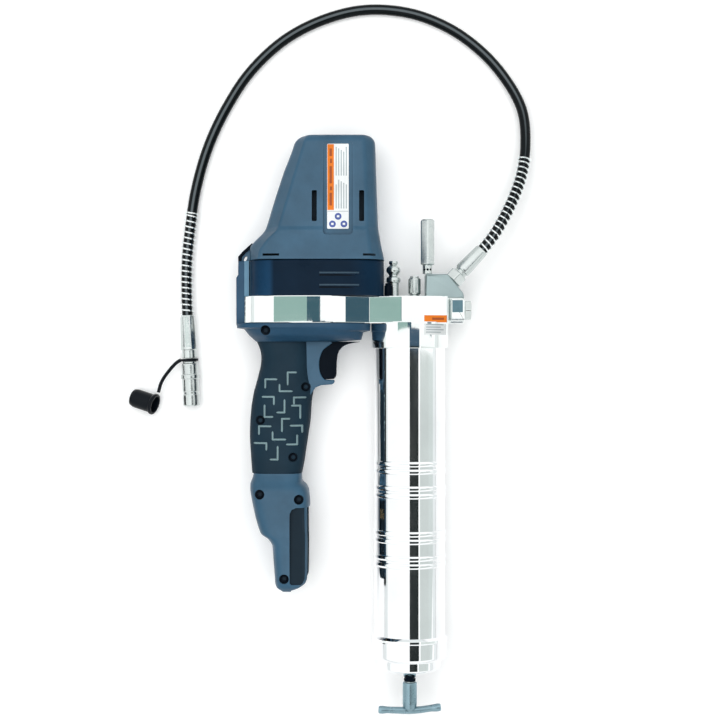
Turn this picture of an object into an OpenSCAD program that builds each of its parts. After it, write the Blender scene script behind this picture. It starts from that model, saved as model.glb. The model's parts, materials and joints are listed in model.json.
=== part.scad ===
// Cordless grease gun lying on its side: two-part shell, pump head, barrel, hose.
// Millimetres. Local frame: x towards the nose, y up the motor, z through the cheeks.

/* [Barrel] */
// Outside diameter of the grease barrel
barrel_d = 57; // [56:0.5:58]
// Wall of the barrel tube
barrel_wall = 1.2; // [1:0.1:1.6]
// Length of the barrel tube below the head
barrel_len = 252; // [240:1:260]
// Height of the rolled beads on the barrel
bead_h = 0.9; // [0.5:0.1:1.4]

/* [Pump] */
// Bore radius of the pump plunger
plunger_r = 5; // [4.5:0.1:5]
// Throw of the crank that drives the plunger
crank_throw = 6; // [4:0.5:7]
// Half of the plunger's stroke, clear space in the bore
stroke_half = 6; // [4:0.5:6]

/* [Gears] */
// Gear module of the planetary stage
gear_m = 1; // [0.95:0.05:1]
// Thickness of the gears
gear_t = 8; // [6:0.5:8]

/* [Shell] */
// Wall of the plastic shell
shell_wall = 3; // [2.4:0.1:3.4]
// Half width of the motor housing
motor_half = 34; // [32:0.5:36]
// Half width of the battery foot
foot_half = 27; // [25:0.5:28]
// Half width of the grip core under the rubber
grip_half = 16.5; // [16:0.1:17]
// Height of the raised ribs on the grip
rib_h = 0.8; // [0.5:0.1:1.2]

/* [Hose] */
// Outside diameter of the hose
hose_d = 8.5; // [8:0.1:8.6]
// Wire diameter of the spring guards
guard_wire = 1.4; // [1.2:0.1:1.5]
// Outside diameter of the coupler
coupler_d = 13.8; // [13.5:0.1:14.4]

/* [Show] */
// Which piece to build

/* [Hidden] */

// Row frame: the lying tool's box centre in x and y, its lowest cheek at z = 0.
origin_x = 45.2;
half_width = 38;
shell_top = 139;

// Pump head casting
band_half = 10.9;
lobe_x = -78.5;
lobe_a = 56.5;
collar_r = 31.2;
collar_low = -30.8;
block_right = 43;
block_top = 29.6;
bleeder_x = 3.8;
loader_x = -13.2;
relief_x = 14.3;
motor_x = -57.8;
chamber_r = 25;
chamber_low = -7;
rod_back = -40;

// Gear stage
sun_n = 12;
planet_n = 18;
ring_n = 48;
gear_low = 27;
planet_pitch = gear_m * (sun_n + planet_n) / 2;
pin_r = 2.5;
cover_top = 39.3;
ring_out = 27.4;

// Barrel
barrel_r = barrel_d / 2;
barrel_top = -13;
barrel_low = barrel_top - barrel_len;
rod_r = 3.5;
follower_top = -18;
cap_low = barrel_low - 15.4;
handle_r = 3.2;
handle_reach = 22.2;
handle_drop = 1.2;
handle_y = cap_low - 42;
handle_low = handle_y - handle_drop - handle_r;
origin_y = -(shell_top + handle_low) / 2;

// Hose ends
exit_angle = 46.3;
adapter_x = 40.7;
adapter_y = 30.4;
ferrule_len = 26;
hose_r = hose_d / 2;
guard_r = hose_r + 0.2 + guard_wire / 2;
tail_x = -183.3;
tail_y = -3;
tail_tilt = 2.7;
tail_z = -29.7;
bulge_r = 7.8;
cap_at = [-228.7, -70.9, -31];
cap_turn = 72.5;
cap_lift = 16;
hose_sides = 10;
lie_z = hose_r + 0.05 - half_width;

// Point on the exit axis, and point on the coupler's axis, at a distance along it
function exit_point(t) = [adapter_x + t * cos(exit_angle), adapter_y + t * sin(exit_angle), 0];
function tail_point(t) = [tail_x + t * sin(tail_tilt), tail_y - t * cos(tail_tilt), tail_z];

// Hose centre line: out of the ferrule, down to the floor and round to the coupler.
route = concat(
  [exit_point(2), exit_point(13), exit_point(26)],
  [
    [70, 64, -2], [83, 88, -8], [92, 112, -15], [96, 138, -22], [94, 166, -28],
    [82, 191, -32], [62, 215, -33.5], [35, 235, lie_z], [2, 248, lie_z],
    [-35, 251, lie_z], [-70, 243, lie_z], [-103, 226, lie_z], [-131, 200, lie_z],
    [-151, 170, lie_z], [-166, 138, -33], [-176, 104, -32.5], [-181, 72, -31.5],
    [-184, 40, -31], [-184, 12, -30]
  ],
  [tail_point(0), tail_point(13)]
);
tether_route = [
  [-188.5, -40, -29], [-193, -43, -28.5], [-199.5, -50.5, -27.5], [-204.5, -58.5, -26.5],
  [-206.8, -66.8, -25.2]
];

// Shell outlines, drawn from the cheek side
shoulder_y = 63;
case_low = 39.6;
housing_outline = [
  [-90, shell_top], [-36, shell_top], [-31, 136], [-28, 130], [-27, 98],
  [-25.8, 65], [-25.6, shoulder_y], [-115.7, shoulder_y], [-108.5, 89.5],
  [-101, 112], [-95, 129], [-93, 136]
];
shoulder_outline = [
  [-115.7, shoulder_y], [-25.6, shoulder_y], [-23.3, 50.6], [-21, case_low],
  [-128.5, case_low], [-128.5, 51]
];
flange_outline = [
  [-140, -11.1], [-140, -14.2], [-134, -15], [-129.4, -20.6], [-124, -25.5],
  [-84, -25.5], [-81, -29], [-80.5, -36], [-74, -36], [-69.5, -30.4], [-63, -25.5],
  [-39, -24.7], [-38, -18.2], [-31.4, -16.6], [-14, -16.6], [-14, -11.1]
];
core_joint = -72;
rubber_joint = -71;
grip_upper = [
  [-124, -24], [-120.4, -34], [-120, -42], [-123, -56], [-126.6, -72],
  [-79.4, -72], [-76, -64.5], [-73.5, -45], [-69, -24]
];
grip_lower = [
  [-126.6, -72], [-129.2, -95], [-128.4, -118], [-127, -138], [-86.5, -138],
  [-85, -121], [-82, -100], [-80, -88], [-79.4, -72]
];
bow_outline = [
  [-79.4, -72], [-76, -64.5], [-68.7, -60.5], [-61.4, -60.3], [-61.4, -58.7],
  [-68.7, -56.3], [-72, -51.4], [-76, -45], [-82, -50], [-84, -72]
];
rubber_upper = [
  [-121.5, -26], [-120.4, -34], [-120, -42], [-123, -56], [-126.6, -71],
  [-79.6, -71], [-78, -60], [-81, -50], [-81.6, -32], [-86.5, -26]
];
rubber_lower = [
  [-126.6, -71], [-129.1, -95], [-128.3, -118], [-126.4, -133], [-119, -138],
  [-113, -139], [-105, -137], [-88, -132.4], [-85, -121], [-82, -100],
  [-80, -88], [-79.6, -71]
];
foot_outline = [
  [-127, -134], [-128.6, -140], [-128, -148], [-124.6, -165], [-119.7, -180],
  [-111.5, -190], [-108.4, -219], [-105, -224.5], [-95.4, -225], [-84.5, -220],
  [-81.2, -215], [-80.8, -153], [-82.5, -142], [-87, -134]
];

// Cheek screws: position and depth of the seat measured from the mid plane
screw_seats = [
  [-83.7, -61.6, 9], [-120.1, -88.3, 11], [-93.8, -117.9, 12], [-120.1, -147, 16],
  [-88.9, -151, 16], [-100.7, -214.2, 22], [-114.9, -16.6, 30]
];
screw_sink = 3;
eye_r = 2;
anchor_half = 7;
anchor_tongue = 2;
screw_head_r = 3.5;
screw_r = 1.6;

// L-shaped grip ribs: corner x and y, then the arms along x and along y
rib_corners = [
  [-116, -55.5, 9, -6.5], [-98, -50, 6.5, -9.5], [-104.5, -65, 9.5, 5],
  [-109, -69.5, -9, -5.5], [-93, -70, 9, -5], [-100.5, -82, -5.5, 9.5],
  [-88, -76.5, -6.5, -10], [-116.5, -85.5, 6.5, 9], [-102.5, -87, 5.5, -10],
  [-86.5, -92.5, -9, -5], [-121, -93, 9.5, -6], [-110, -103.5, 10, 5.5],
  [-115, -106.5, -9.5, -5], [-90.5, -107.5, -8, 7], [-106, -119.5, -5.5, 10]
];
rib_half = 0.8;
rubber_gap = 0.1;

blue = [0.27, 0.37, 0.47];
dark_blue = [0.11, 0.15, 0.21];
rubber_col = [0.13, 0.17, 0.21];
rib_col = [0.5, 0.56, 0.58];
steel = [0.72, 0.73, 0.74];
cast = [0.8, 0.8, 0.79];
zinc = [0.5, 0.6, 0.66];
black = [0.05, 0.05, 0.06];
brass = [0.75, 0.6, 0.3];
orange = [0.9, 0.45, 0.12];

// ---------- helpers ----------
module place() {
  translate([origin_x, origin_y, half_width])
    children();
}

module rod_y(x, z, low, high, r) {
  translate([x, low, z])
    rotate([-90, 0, 0])
      cylinder(h = high - low, r = r, $fn = 64);
}

module rod_x(low, high, y, z, r) {
  translate([low, y, z])
    rotate([0, 90, 0])
      cylinder(h = high - low, r = r, $fn = 48);
}

// Extrudes an outline drawn in x and z from y = low to y = high.
module along_y(low, high) {
  translate([0, high, 0])
    rotate([90, 0, 0])
      linear_extrude(high - low)
        children();
}

// Turns a profile of [radius, y] points about a line along y.
module turned_y(x, z) {
  translate([x, 0, z])
    rotate([-90, 0, 0])
      rotate_extrude($fn = 72)
        children();
}

module block(low, high) {
  translate(low)
    cube([high[0] - low[0], high[1] - low[1], high[2] - low[2]]);
}

// Axis frame that leaves the head at the hose's exit angle; children use x as axis.
module at_exit() {
  translate([adapter_x, adapter_y, 0])
    rotate([0, 0, exit_angle])
      children();
}

// Axis frame of the coupler end; children run towards -y.
module at_tail() {
  translate([tail_x, tail_y, tail_z])
    rotate([0, 0, tail_tilt])
      children();
}

function oval_points(cx, a, b, n) = [
  for (i = [0 : n - 1])
    [cx + a * cos(360 * i / n), b * sin(360 * i / n)]
];

// One external gear: four corners a tooth, thin teeth so meshes run free.
function gear_points(n, m) = [
  for (i = [0 : n - 1])
    for (k = [[-0.29, -1.1], [-0.12, 0.8], [0.12, 0.8], [0.29, -1.1]])
      let (a = 360 * (i + k[0]) / n, r = n * m / 2 + k[1] * m)
        [r * cos(a), r * sin(a)]
];

function inner_gear_points(n, m) = [
  for (i = [0 : n - 1])
    for (k = [[-0.27, 1.15], [-0.11, -0.75], [0.11, -0.75], [0.27, 1.15]])
      let (a = 360 * (i + k[0]) / n, r = n * m / 2 + k[1] * m)
        [r * cos(a), r * sin(a)]
];

module ngon(n, r) {
  polygon([for (i = [0 : n - 1]) [r * cos(360 * i / n), r * sin(360 * i / n)]]);
}

// Path functions: a smooth curve through the points of a list
function spline(p, i, t) =
  let (
    n = len(p) - 1,
    a = p[max(i - 1, 0)],
    b = p[i],
    c = p[min(i + 1, n)],
    d = p[min(i + 2, n)]
  )
  0.5 * (2 * b + (c - a) * t + (2 * a - 5 * b + 4 * c - d) * t * t
    + (3 * b - a - 3 * c + d) * t * t * t);

function path_at(p, u) =
  let (
    s = u * (len(p) - 1),
    i = min(floor(s), len(p) - 2)
  )
  spline(p, i, s - i);

function unit(v) = v / norm(v);

function heading(p, u) =
  let (e = 0.002, a = max(u - e, 0), b = min(u + e, 1))
  unit(path_at(p, b) - path_at(p, a));

// Side and up directions square to a heading, kept steady by the z axis
function side_of(h) = unit(cross(h, [0, 0, 1]));
function up_of(h) = cross(side_of(h), h);

function ring_points(c, h, r, sides) = [
  for (k = [0 : sides - 1])
    c + r * cos(360 * k / sides) * side_of(h) + r * sin(360 * k / sides) * up_of(h)
];

// Solid swept through rings that share one count of sides.
module swept(rings) {
  n = len(rings);
  s = len(rings[0]);
  pts = [for (ring = rings) for (p = ring) p];
  sides = [
    for (i = [0 : n - 2])
      for (k = [0 : s - 1])
        for (f = [0, 1])
          f == 0
            ? [i * s + k, i * s + (k + 1) % s, (i + 1) * s + (k + 1) % s]
            : [i * s + k, (i + 1) * s + (k + 1) % s, (i + 1) * s + k]
  ];
  low_end = [[for (k = [0 : s - 1]) s - 1 - k]];
  high_end = [[for (k = [0 : s - 1]) (n - 1) * s + k]];
  polyhedron(points = pts, faces = concat(sides, low_end, high_end));
}

module tube_along(p, r, sides, count, u0 = 0, u1 = 1) {
  rings = [
    for (i = [0 : count])
      let (u = u0 + (u1 - u0) * i / count)
        ring_points(path_at(p, u), heading(p, u), r, sides)
  ];
  swept(rings);
}

// Helix of round wire wound about a path between two stations.
function helix_centre(p, u0, u1, turns, r, t) =
  let (
    u = u0 + (u1 - u0) * t,
    h = heading(p, u)
  )
  path_at(p, u) + r * cos(360 * turns * t) * side_of(h)
    + r * sin(360 * turns * t) * up_of(h);

module guard_along(p, u0, u1, turns, r, wire_r) {
  steps = turns * 10;
  rings = [
    for (i = [0 : steps])
      let (
        t = i / steps,
        c = helix_centre(p, u0, u1, turns, r, t),
        h = heading(p, u0 + (u1 - u0) * t),
        out = unit(c - path_at(p, u0 + (u1 - u0) * t))
      )
      [for (k = [0 : 4]) c + wire_r * (cos(72 * k) * out + sin(72 * k) * h)]
  ];
  swept(rings);
}

// Coil spring about a line along x or y, faceted.
module coil(length, turns, r, wire_r) {
  steps = turns * 10;
  rings = [
    for (i = [0 : steps])
      let (
        t = i / steps,
        a = 360 * turns * t,
        c = [wire_r + (length - 2 * wire_r) * t, r * cos(a), r * sin(a)],
        out = [0, cos(a), sin(a)]
      )
      [for (k = [0 : 4]) c + wire_r * (cos(72 * k) * out - sin(72 * k) * [1, 0, 0])]
  ];
  swept(rings);
}

// ---------- pump head ----------
module pump_head() color(cast) place() difference() {
  union() {
    along_y(-band_half, band_half)
      polygon(oval_points(lobe_x, lobe_a, half_width, 60));
    block([-60, -band_half, -24], [0, band_half, 24]);
    rod_y(0, 0, collar_low, band_half, collar_r);
    block([0, -8.5, -13], [block_right, 8.5, 13]);
    translate([0, 0, -13])
      linear_extrude(26)
        polygon([
          [9, 0], [block_right, 0], [block_right, 10.5], [42.3, 12.6],
          [38.5, 20.7], [34, 27], [30, block_top], [9, block_top]
        ]);
  }
  rod_y(0, 0, collar_low - 1, -11.4, barrel_r + 0.08);
  rod_y(0, 0, -12, 0, 6);
  rod_y(motor_x, 0, chamber_low, band_half + 1, chamber_r);
  rod_x(-40, 12 + stroke_half, 0, 0, plunger_r + 0.06);
  rod_x(-36, -26, 0, 0, 8.05);
  rod_x(17, 23, 0, 0, 2.8);
  rod_x(22, block_right + 1, 0, 0, 5.05);
  rod_y(30, 0, 0, 20, 2.4);
  rod_x(relief_x, 30, 20, 0, 2);
  rod_y(relief_x, 0, 18, block_top + 1, 4.05);
  rod_y(bleeder_x, 0, 3, band_half + 1, 3.05);
  rod_y(loader_x, 0, 3, band_half + 1, 3.05);
  rod_y(loader_x, 0, -12, 4, 1.6);
  at_exit() {
    rod_x(-21, 3, 0, 0, 5.05);
    block([-8.2, -12, -14], [10, 12, 14]);
  }
  rod_y(-17.5, 9, 5, band_half + 1, 2.05);
}

module outlet_plug() color(steel) place() {
  translate([44, 0, 0])
    rotate([0, 90, 0])
      cylinder(h = 5.6, r = 9, $fn = 6);
  rod_x(43.1, 44.2, 0, 0, 8);
  rod_x(37, 44, 0, 0, 5);
}

module check_ball() color(steel) place()
  translate([25.4, 0, 0])
    sphere(r = 4, $fn = 48);

module check_spring() color(steel) place()
  translate([29.8, 0, 0])
    coil(7, 5, 3.3, 0.5);

module relief_valve() color(steel) place() difference() {
  union() {
    translate([relief_x, 37, 0])
      rotate([-90, 0, 0])
        cylinder(h = 35.6, r = 6.35, $fn = 6);
    rod_y(relief_x, 0, 36.4, 37.2, 5.4);
    rod_y(relief_x, 0, 72.4, 74.1, 4.6);
    rod_y(relief_x, 0, 20.5, 36.6, 4);
  }
  rod_y(relief_x, 0, 19, 68, 2);
  translate([relief_x, 34.6, -6])
    cylinder(h = 12, r = 0.8, $fn = 24);
  rod_x(relief_x - 6, relief_x + 6, 32.2, 0, 0.8);
}

module bleeder_valve() color(steel) place() {
  rod_y(bleeder_x, 0, 5.6, 11.5, 3);
  rod_y(bleeder_x, 0, 11.2, 13.2, 4);
  along_y(13, 26)
    translate([bleeder_x, 0])
      polygon([
        for (i = [0 : 47])
          let (r = i % 2 == 0 ? 4.9 : 4.5)
            [r * cos(7.5 * i), r * sin(7.5 * i)]
      ]);
  rod_y(bleeder_x, 0, 25.9, 28, 4);
}

module loader_fitting() color(brass) place() difference() {
  turned_y(loader_x, 0)
    polygon([
      [0, 5.6], [3, 5.6], [3, 11.1], [4.6, 11.1], [4.6, 22.3], [5.7, 22.8],
      [5.7, 26.6], [4, 27.2], [3.4, 28.6], [4.6, 29.8], [5.7, 31.4], [5.8, 33],
      [5.3, 34.6], [3.2, 36.4], [2.8, 37.1], [3.7, 37.6], [3.7, 40], [0, 40]
    ]);
  rod_y(loader_x, 0, 3, 41, 1.6);
}

module vent_plug() color(black) place() {
  rod_y(-17.5, 9, 11, 20, 3.3);
  rod_y(-17.5, 9, 19.8, 22, 2.4);
  rod_y(-17.5, 9, 6, 11.1, 2);
}

// ---------- hose end at the head ----------
module hose_adapter() color(steel) place() at_exit() difference() {
  union() {
    rod_x(-20, -7.5, 0, 0, 5);
    translate([-8, 0, 0])
      rotate([0, 90, 0])
        cylinder(h = 7.5, r = 8.2, $fn = 6);
    rod_x(-0.7, 0.1, 0, 0, 5.6);
  }
  rod_x(-21, 1, 0, 0, 1.8);
}

module inlet_ferrule() color(steel) place() at_exit() difference() {
  rotate([0, 0, -90])
    turned_y(0, 0)
      polygon([
        [0, 0.2], [5.4, 0.2], [5.6, 2], [6.7, 2.4], [6.8, 4], [6.4, 14],
        [5.9, 24.6], [5.4, 26], [0, 26]
      ]);
  rod_x(1.4, 27, 0, 0, hose_r + 0.06);
  rod_x(0, 2, 0, 0, 1.8);
}

module hose() color(black) place()
  tube_along(route, hose_r, hose_sides, 78);

module inlet_guard() color(steel) place()
  guard_along(route, 0.092, 0.245, 17, guard_r, guard_wire / 2);

module outlet_guard() color(steel) place()
  guard_along(route, 0.826, 0.951, 18, guard_r, guard_wire / 2);

module coupler_ferrule() color(steel) place() at_tail() difference() {
  turned_y(0, 0)
    polygon([
      [0, -35.5], [6, -35.5], [6, -29], [6.8, -28.4], [6.8, -26], [6.3, -8],
      [6, -1], [5.5, 0], [0, 0]
    ]);
  rod_y(0, 0, -14.5, 1, hose_r + 0.3);
  rod_y(0, 0, -36, -14, 1.8);
}

module coupler_body() color(steel) place() at_tail() difference() {
  turned_y(0, 0)
    polygon([
      [0, -74], [5.5, -74], [5.5, -52], [6.1, -51], [6.1, -44], [5.7, -43],
      [5.7, -38.5], [4.6, -38], [4.6, -35.8], [0, -35.8]
    ]);
  rod_y(0, 0, -75, -60, 4.6);
  rod_y(0, 0, -62, -35, 1.8);
}

module coupler_sleeve() color(steel) place() at_tail() difference() {
  turned_y(0, 0)
    polygon([
      [5.55, -75.4], [6.2, -75.4], [coupler_d / 2, -74.4], [coupler_d / 2, -66],
      [6.3, -65.4], [6.3, -63.6], [coupler_d / 2, -63], [coupler_d / 2, -53],
      [bulge_r, -52.4], [bulge_r, -49.4], [coupler_d / 2, -48.8], [coupler_d / 2, -41],
      [6.4, -40], [6.15, -40], [6.15, -51.6], [5.55, -52.4]
    ]);
  rod_y(0, 0, -80, -74.05, 4.7);
}

module coupler_jaws() color(steel) place() at_tail() difference() {
  rod_y(0, 0, -72.6, -60.2, 4.5);
  rod_y(0, 0, -73, -60, 3.35);
  for (a = [0, 90])
    rotate([0, a, 0])
      block([-6, -73, -0.3], [6, -63, 0.3]);
}

// ---------- dust cap ----------
module cap_tether() color(black) place() {
  at_tail()
    difference() {
      rod_y(0, 0, -38.2, -35.9, 7.2);
      rod_y(0, 0, -39, -35, 6.1);
    }
  tube_along(tether_route, 1.5, 8, 20);
}

module dust_cap() color(black) place()
  translate(cap_at)
    rotate([0, 0, cap_turn])
      rotate([-cap_lift, 0, 0])
        difference() {
          turned_y(0, 0)
            polygon([
              [0, -21], [8.4, -21], [8.8, -20.4], [8.8, -18.6], [7.7, -17.8],
              [7.7, -3], [6.8, 0], [3, 1], [0, 1]
            ]);
          rod_y(0, 0, -22, -2, 6.7);
        }

// ---------- gear case ----------
module gear_cover() color(dark_blue) place() difference() {
  intersection() {
    union() {
      along_y(band_half + 0.1, cover_top)
        polygon(oval_points(-75, 54, half_width - 2, 60));
      for (y = [19.4, 29.4])
        intersection() {
          along_y(y, y + 1.4)
            polygon(oval_points(-75, 54.8, half_width - 1.2, 60));
          block([-73, y - 1, -half_width], [-41, y + 3, half_width]);
        }
    }
    translate([0, 0, -half_width])
      linear_extrude(2 * half_width)
        polygon([[-129.4, 11], [-129.4, cover_top], [-20, cover_top], [-20, 11]]);
  }
  block([-130, 35.8, -9.3], [-122.8, cover_top + 1, 9.3]);
  rod_y(motor_x, 0, 22, cover_top + 1, ring_out + 0.1);
  rod_y(motor_x, 0, 10, 22.5, 13.06);
}

module ring_gear() color(steel) place()
  along_y(gear_low - 1, gear_low + gear_t + 3)
    translate([motor_x, 0])
      difference() {
        ngon(48, ring_out);
        polygon(inner_gear_points(ring_n, gear_m));
      }

module gear_wheel(n, turn, bore) {
  along_y(gear_low, gear_low + gear_t)
    rotate(turn)
      difference() {
        polygon(gear_points(n, gear_m));
        circle(r = bore, $fn = 48);
      }
}

module planet(i) {
  a = 120 * i;
  translate([motor_x + planet_pitch * cos(a), 0, planet_pitch * sin(a)])
    gear_wheel(planet_n, a + 180 / planet_n, pin_r + 0.1);
}

module planet_1() color(steel) place() planet(0);
module planet_2() color(steel) place() planet(1);
module planet_3() color(steel) place() planet(2);

module sun_gear() color(steel) place()
  translate([motor_x, 0, 0])
    gear_wheel(sun_n, 0, 2.62);

module planet_carrier() color(steel) place() {
  along_y(gear_low - 4.5, gear_low - 0.6)
    translate([motor_x, 0])
      ngon(36, 19.5);
  for (i = [0 : 2])
    along_y(gear_low - 1, gear_low + gear_t + 0.4)
      translate([motor_x + planet_pitch * cos(120 * i), planet_pitch * sin(120 * i)])
        circle(r = pin_r, $fn = 48);
  rod_y(motor_x, 0, 9.3, gear_low - 4, 10);
}

module crank() color(steel) place() {
  rod_y(motor_x, 0, 5.6, 9.3, 15);
  rod_y(motor_x + crank_throw, 0, 2.4, 6, 4);
  block([motor_x - 14, 5.6, -6], [motor_x - 6, 9.3, 6]);
}

module main_bearing() color(steel) place() difference() {
  rod_y(motor_x, 0, 11.2, 20.8, 13);
  rod_y(motor_x, 0, 11, 21, 10.06);
}

// ---------- motor ----------
module motor_plate() color(cast) place() difference() {
  rod_y(motor_x, 0, cover_top + 0.2, 44, 25.5);
  rod_y(motor_x, 0, cover_top, 45, 6);
}

module motor_can() color(steel) place() difference() {
  union() {
    rod_y(motor_x, 0, 46, 106, 24);
    rod_y(motor_x, 0, 44.1, 46.2, 10);
    rod_y(motor_x, 0, 105.8, 109, 10);
  }
  rod_y(motor_x, 0, 48, 104, 22.4);
  rod_y(motor_x, 0, 43, 110, 2.6);
  for (a = [0 : 45 : 135])
    translate([motor_x, 96, 0])
      rotate([0, a, 0])
        block([-26, -4, -3], [26, 4, 3]);
}

module motor_magnets() color(dark_blue) place() difference() {
  rod_y(motor_x, 0, 54, 88, 22.3);
  rod_y(motor_x, 0, 53, 89, 18);
  block([motor_x - 3, 53, -24], [motor_x + 3, 89, 24]);
}

module motor_shaft() color(steel) place()
  rod_y(motor_x, 0, gear_low - 0.4, 127, 2.5);

module armature() color(brass) place() difference() {
  union() {
    along_y(52, 90)
      translate([motor_x, 0])
        polygon([
          for (i = [0 : 11])
            for (k = [[-0.38, 16.8], [0.38, 16.8], [0.42, 9], [0.58, 9]])
              [k[1] * cos(30 * (i + k[0])), k[1] * sin(30 * (i + k[0]))]
        ]);
    rod_y(motor_x, 0, 92, 101, 7);
    rod_y(motor_x, 0, 89.5, 92.5, 5);
  }
  rod_y(motor_x, 0, 50, 102, 2.52);
}

module motor_fan() color(black) place() difference() {
  union() {
    rod_y(motor_x, 0, 112, 124, 6);
    rod_y(motor_x, 0, 112, 113.5, 20);
    for (a = [0 : 36 : 324])
      translate([motor_x, 112, 0])
        rotate([0, a, 0])
          block([5, 0, -0.8], [20, 11, 0.8]);
  }
  rod_y(motor_x, 0, 111, 125, 2.52);
}

// ---------- plunger ----------
// Slotted yoke that the crank pin drives, with the plunger rod on its nose side
module plunger() color(steel) place() {
  difference() {
    union() {
      block([motor_x - 8, -5, -15], [motor_x + 8, 2, 15]);
      block([motor_x + 7, -4.5, -4], [rod_back + 1, 2, 4]);
    }
    block([motor_x - 4.3, -6, -11], [motor_x + 4.3, 3, 11]);
  }
  rod_x(rod_back, 10, 0, 0, plunger_r);
}

module plunger_seal() color(black) place() difference() {
  rod_x(-31.5, -26.3, 0, 0, 8);
  rod_x(-33, -25, 0, 0, plunger_r + 0.08);
}

// ---------- shell ----------
// Slab with a smaller outer face: a drafted, softened cheek.
module cheek(outline, inner_z, outer_z, keep_x, keep_y, cx, cy) {
  hull() {
    linear_extrude(inner_z)
      polygon(outline);
    translate([cx, cy, 0])
      linear_extrude(outer_z)
        scale([keep_x, keep_y])
          translate([-cx, -cy])
            polygon(outline);
  }
}

module grip_upper_core() {
  cheek(grip_upper, 7, grip_half, 0.72, 0.98, -99, core_joint);
}

module grip_lower_core() {
  cheek(grip_lower, 7, grip_half, 0.72, 0.98, -105, core_joint);
}

module shell_outer() {
  cheek(housing_outline, motor_half - 9, motor_half, 0.87, 0.93, -68, shoulder_y);
  cheek(shoulder_outline, motor_half - 9, motor_half, 0.87, 1, -68, case_low);
  intersection() {
    linear_extrude(half_width)
      polygon(flange_outline);
    along_y(-40, 0)
      polygon(oval_points(lobe_x + 3, lobe_a + 6, half_width - 1, 60));
  }
  linear_extrude(9)
    polygon([
      [-128.5, 39.4], [-128.5, 42], [-122, 42], [-122, 35.5], [-129.6, 35.5],
      [-129.6, -14], [-140, -14], [-140, 27], [-138.4, 29], [-138.4, 39.4]
    ]);
  grip_upper_core();
  grip_lower_core();
  linear_extrude(8.8)
    polygon(bow_outline);
  cheek(foot_outline, foot_half - 6, foot_half, 0.84, 0.93, -103, -178);
}

module shell_cavity() {
  w = shell_wall;
  cheek(
    [[-86, shell_top - w], [-36, shell_top - w], [-31, 130], [-29, 98], [-27, 50],
      [-26, 36], [-113, 36], [-110.5, 66], [-96, 112]],
    motor_half - 12, motor_half - w, 0.87, 0.93, -68, case_low
  );
  linear_extrude(half_width - 8)
    polygon([[-118, -30], [-116, -22], [-110, -14.5], [-45, -14.5], [-68, -22], [-80, -30]]);
  linear_extrude(9.5)
    polygon([
      [-116, -29], [-116, -44], [-123, -76], [-125, -96], [-123, -134], [-90, -134],
      [-86, -104], [-84, -76], [-82, -29]
    ]);
  linear_extrude(foot_half - 6)
    polygon([
      [-122, -138], [-122, -150], [-118, -166], [-112, -178], [-100, -178],
      [-100, -138]
    ]);
  linear_extrude(foot_half - 5)
    polygon([[-107, -187], [-105, -218], [-100, -221], [-97, -221], [-97, -187]]);
}

module battery_slot() {
  linear_extrude(19)
    polygon([[-96, -157.5], [-70, -157.5], [-70, -232], [-96, -232]]);
  linear_extrude(22.5)
    polygon([[-95, -157.5], [-88, -157.5], [-88, -232], [-95, -232]]);
}

module trigger_pocket() {
  linear_extrude(8.3)
    polygon([[-92, -25.2], [-30, -25.2], [-30, -66], [-66, -66], [-74, -57.5], [-92, -57.5]]);
}

module screw_bosses() {
  for (s = screw_seats)
    translate([s[0], s[1], 0])
      cylinder(h = s[2], r = 4.6, $fn = 32);
}

// Hole in the wall between the foot and the battery slot, filled by the terminal block
module terminal_window() {
  translate([0, 0, -1])
    linear_extrude(18.5)
      polygon([[-100.5, -176.4], [-95.5, -176.4], [-95.5, -159.6], [-100.5, -159.6]]);
}

// One moulding; the screw heads sink into it, or it only takes the threads.
module shell_half(heads) {
  difference() {
    union() {
      difference() {
        shell_outer();
        shell_cavity();
      }
      screw_bosses();
    }
    translate([0, 0, -1])
      battery_slot();
    battery_slot();
    terminal_window();
    trigger_pocket();
    along_y(-11.1, 11.1)
      polygon(oval_points(lobe_x, lobe_a + 0.3, half_width + 0.3, 60));
    translate([0, 0, -1])
      linear_extrude(half_width + 2)
        polygon([
          [-129.6, 36], [-123, 36], [-123, 39.5], [-15, 39.5], [-15, -11], [-129.6, -11]
        ]);
    rod_y(0, 0, -40, 0, collar_r + 0.4);
    for (s = screw_seats) {
      if (heads)
        translate([s[0], s[1], s[2] - screw_sink])
          cylinder(h = 40, r = screw_head_r + 0.3, $fn = 32);
      translate([s[0], s[1], -1])
        cylinder(h = s[2] - screw_sink + 1.2, r = screw_r + 0.06, $fn = 24);
    }
    translate([0, 0, -1])
      linear_extrude(anchor_tongue + 1.2)
        polygon([[-129, 41.1], [-120.6, 41.1], [-120.6, 47.4], [-129, 47.4]]);
    for (x = [-76.4, -39])
      translate([x - 2, 69.5, motor_half - 12])
        cube([4, 24.5, 20]);
    translate([-69.5, 58.7, motor_half - 0.8])
      cube([23.5, 74.3, 3]);
    for (k = [0 : 3])
      translate([-101, 117 + 3 * k, 0])
        rotate([0, 0, -20])
          cube([3.6, 1.2, motor_half - 9]);
  }
}

module shell_right() color(blue) place()
  translate([0, 0, 0.05])
    shell_half(true);

module shell_left() color(blue) place()
  mirror([0, 0, 1])
    translate([0, 0, 0.05])
      shell_half(false);

// Outer skin of the rubber, moved out by a lift
module grip_skin(lift) {
  translate([0, 0, lift]) {
    cheek(rubber_upper, 10, grip_half + 1.8, 0.76, 0.98, -99, rubber_joint);
    cheek(rubber_lower, 10, grip_half + 1.8, 0.76, 0.98, -105, rubber_joint);
  }
}

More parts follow.
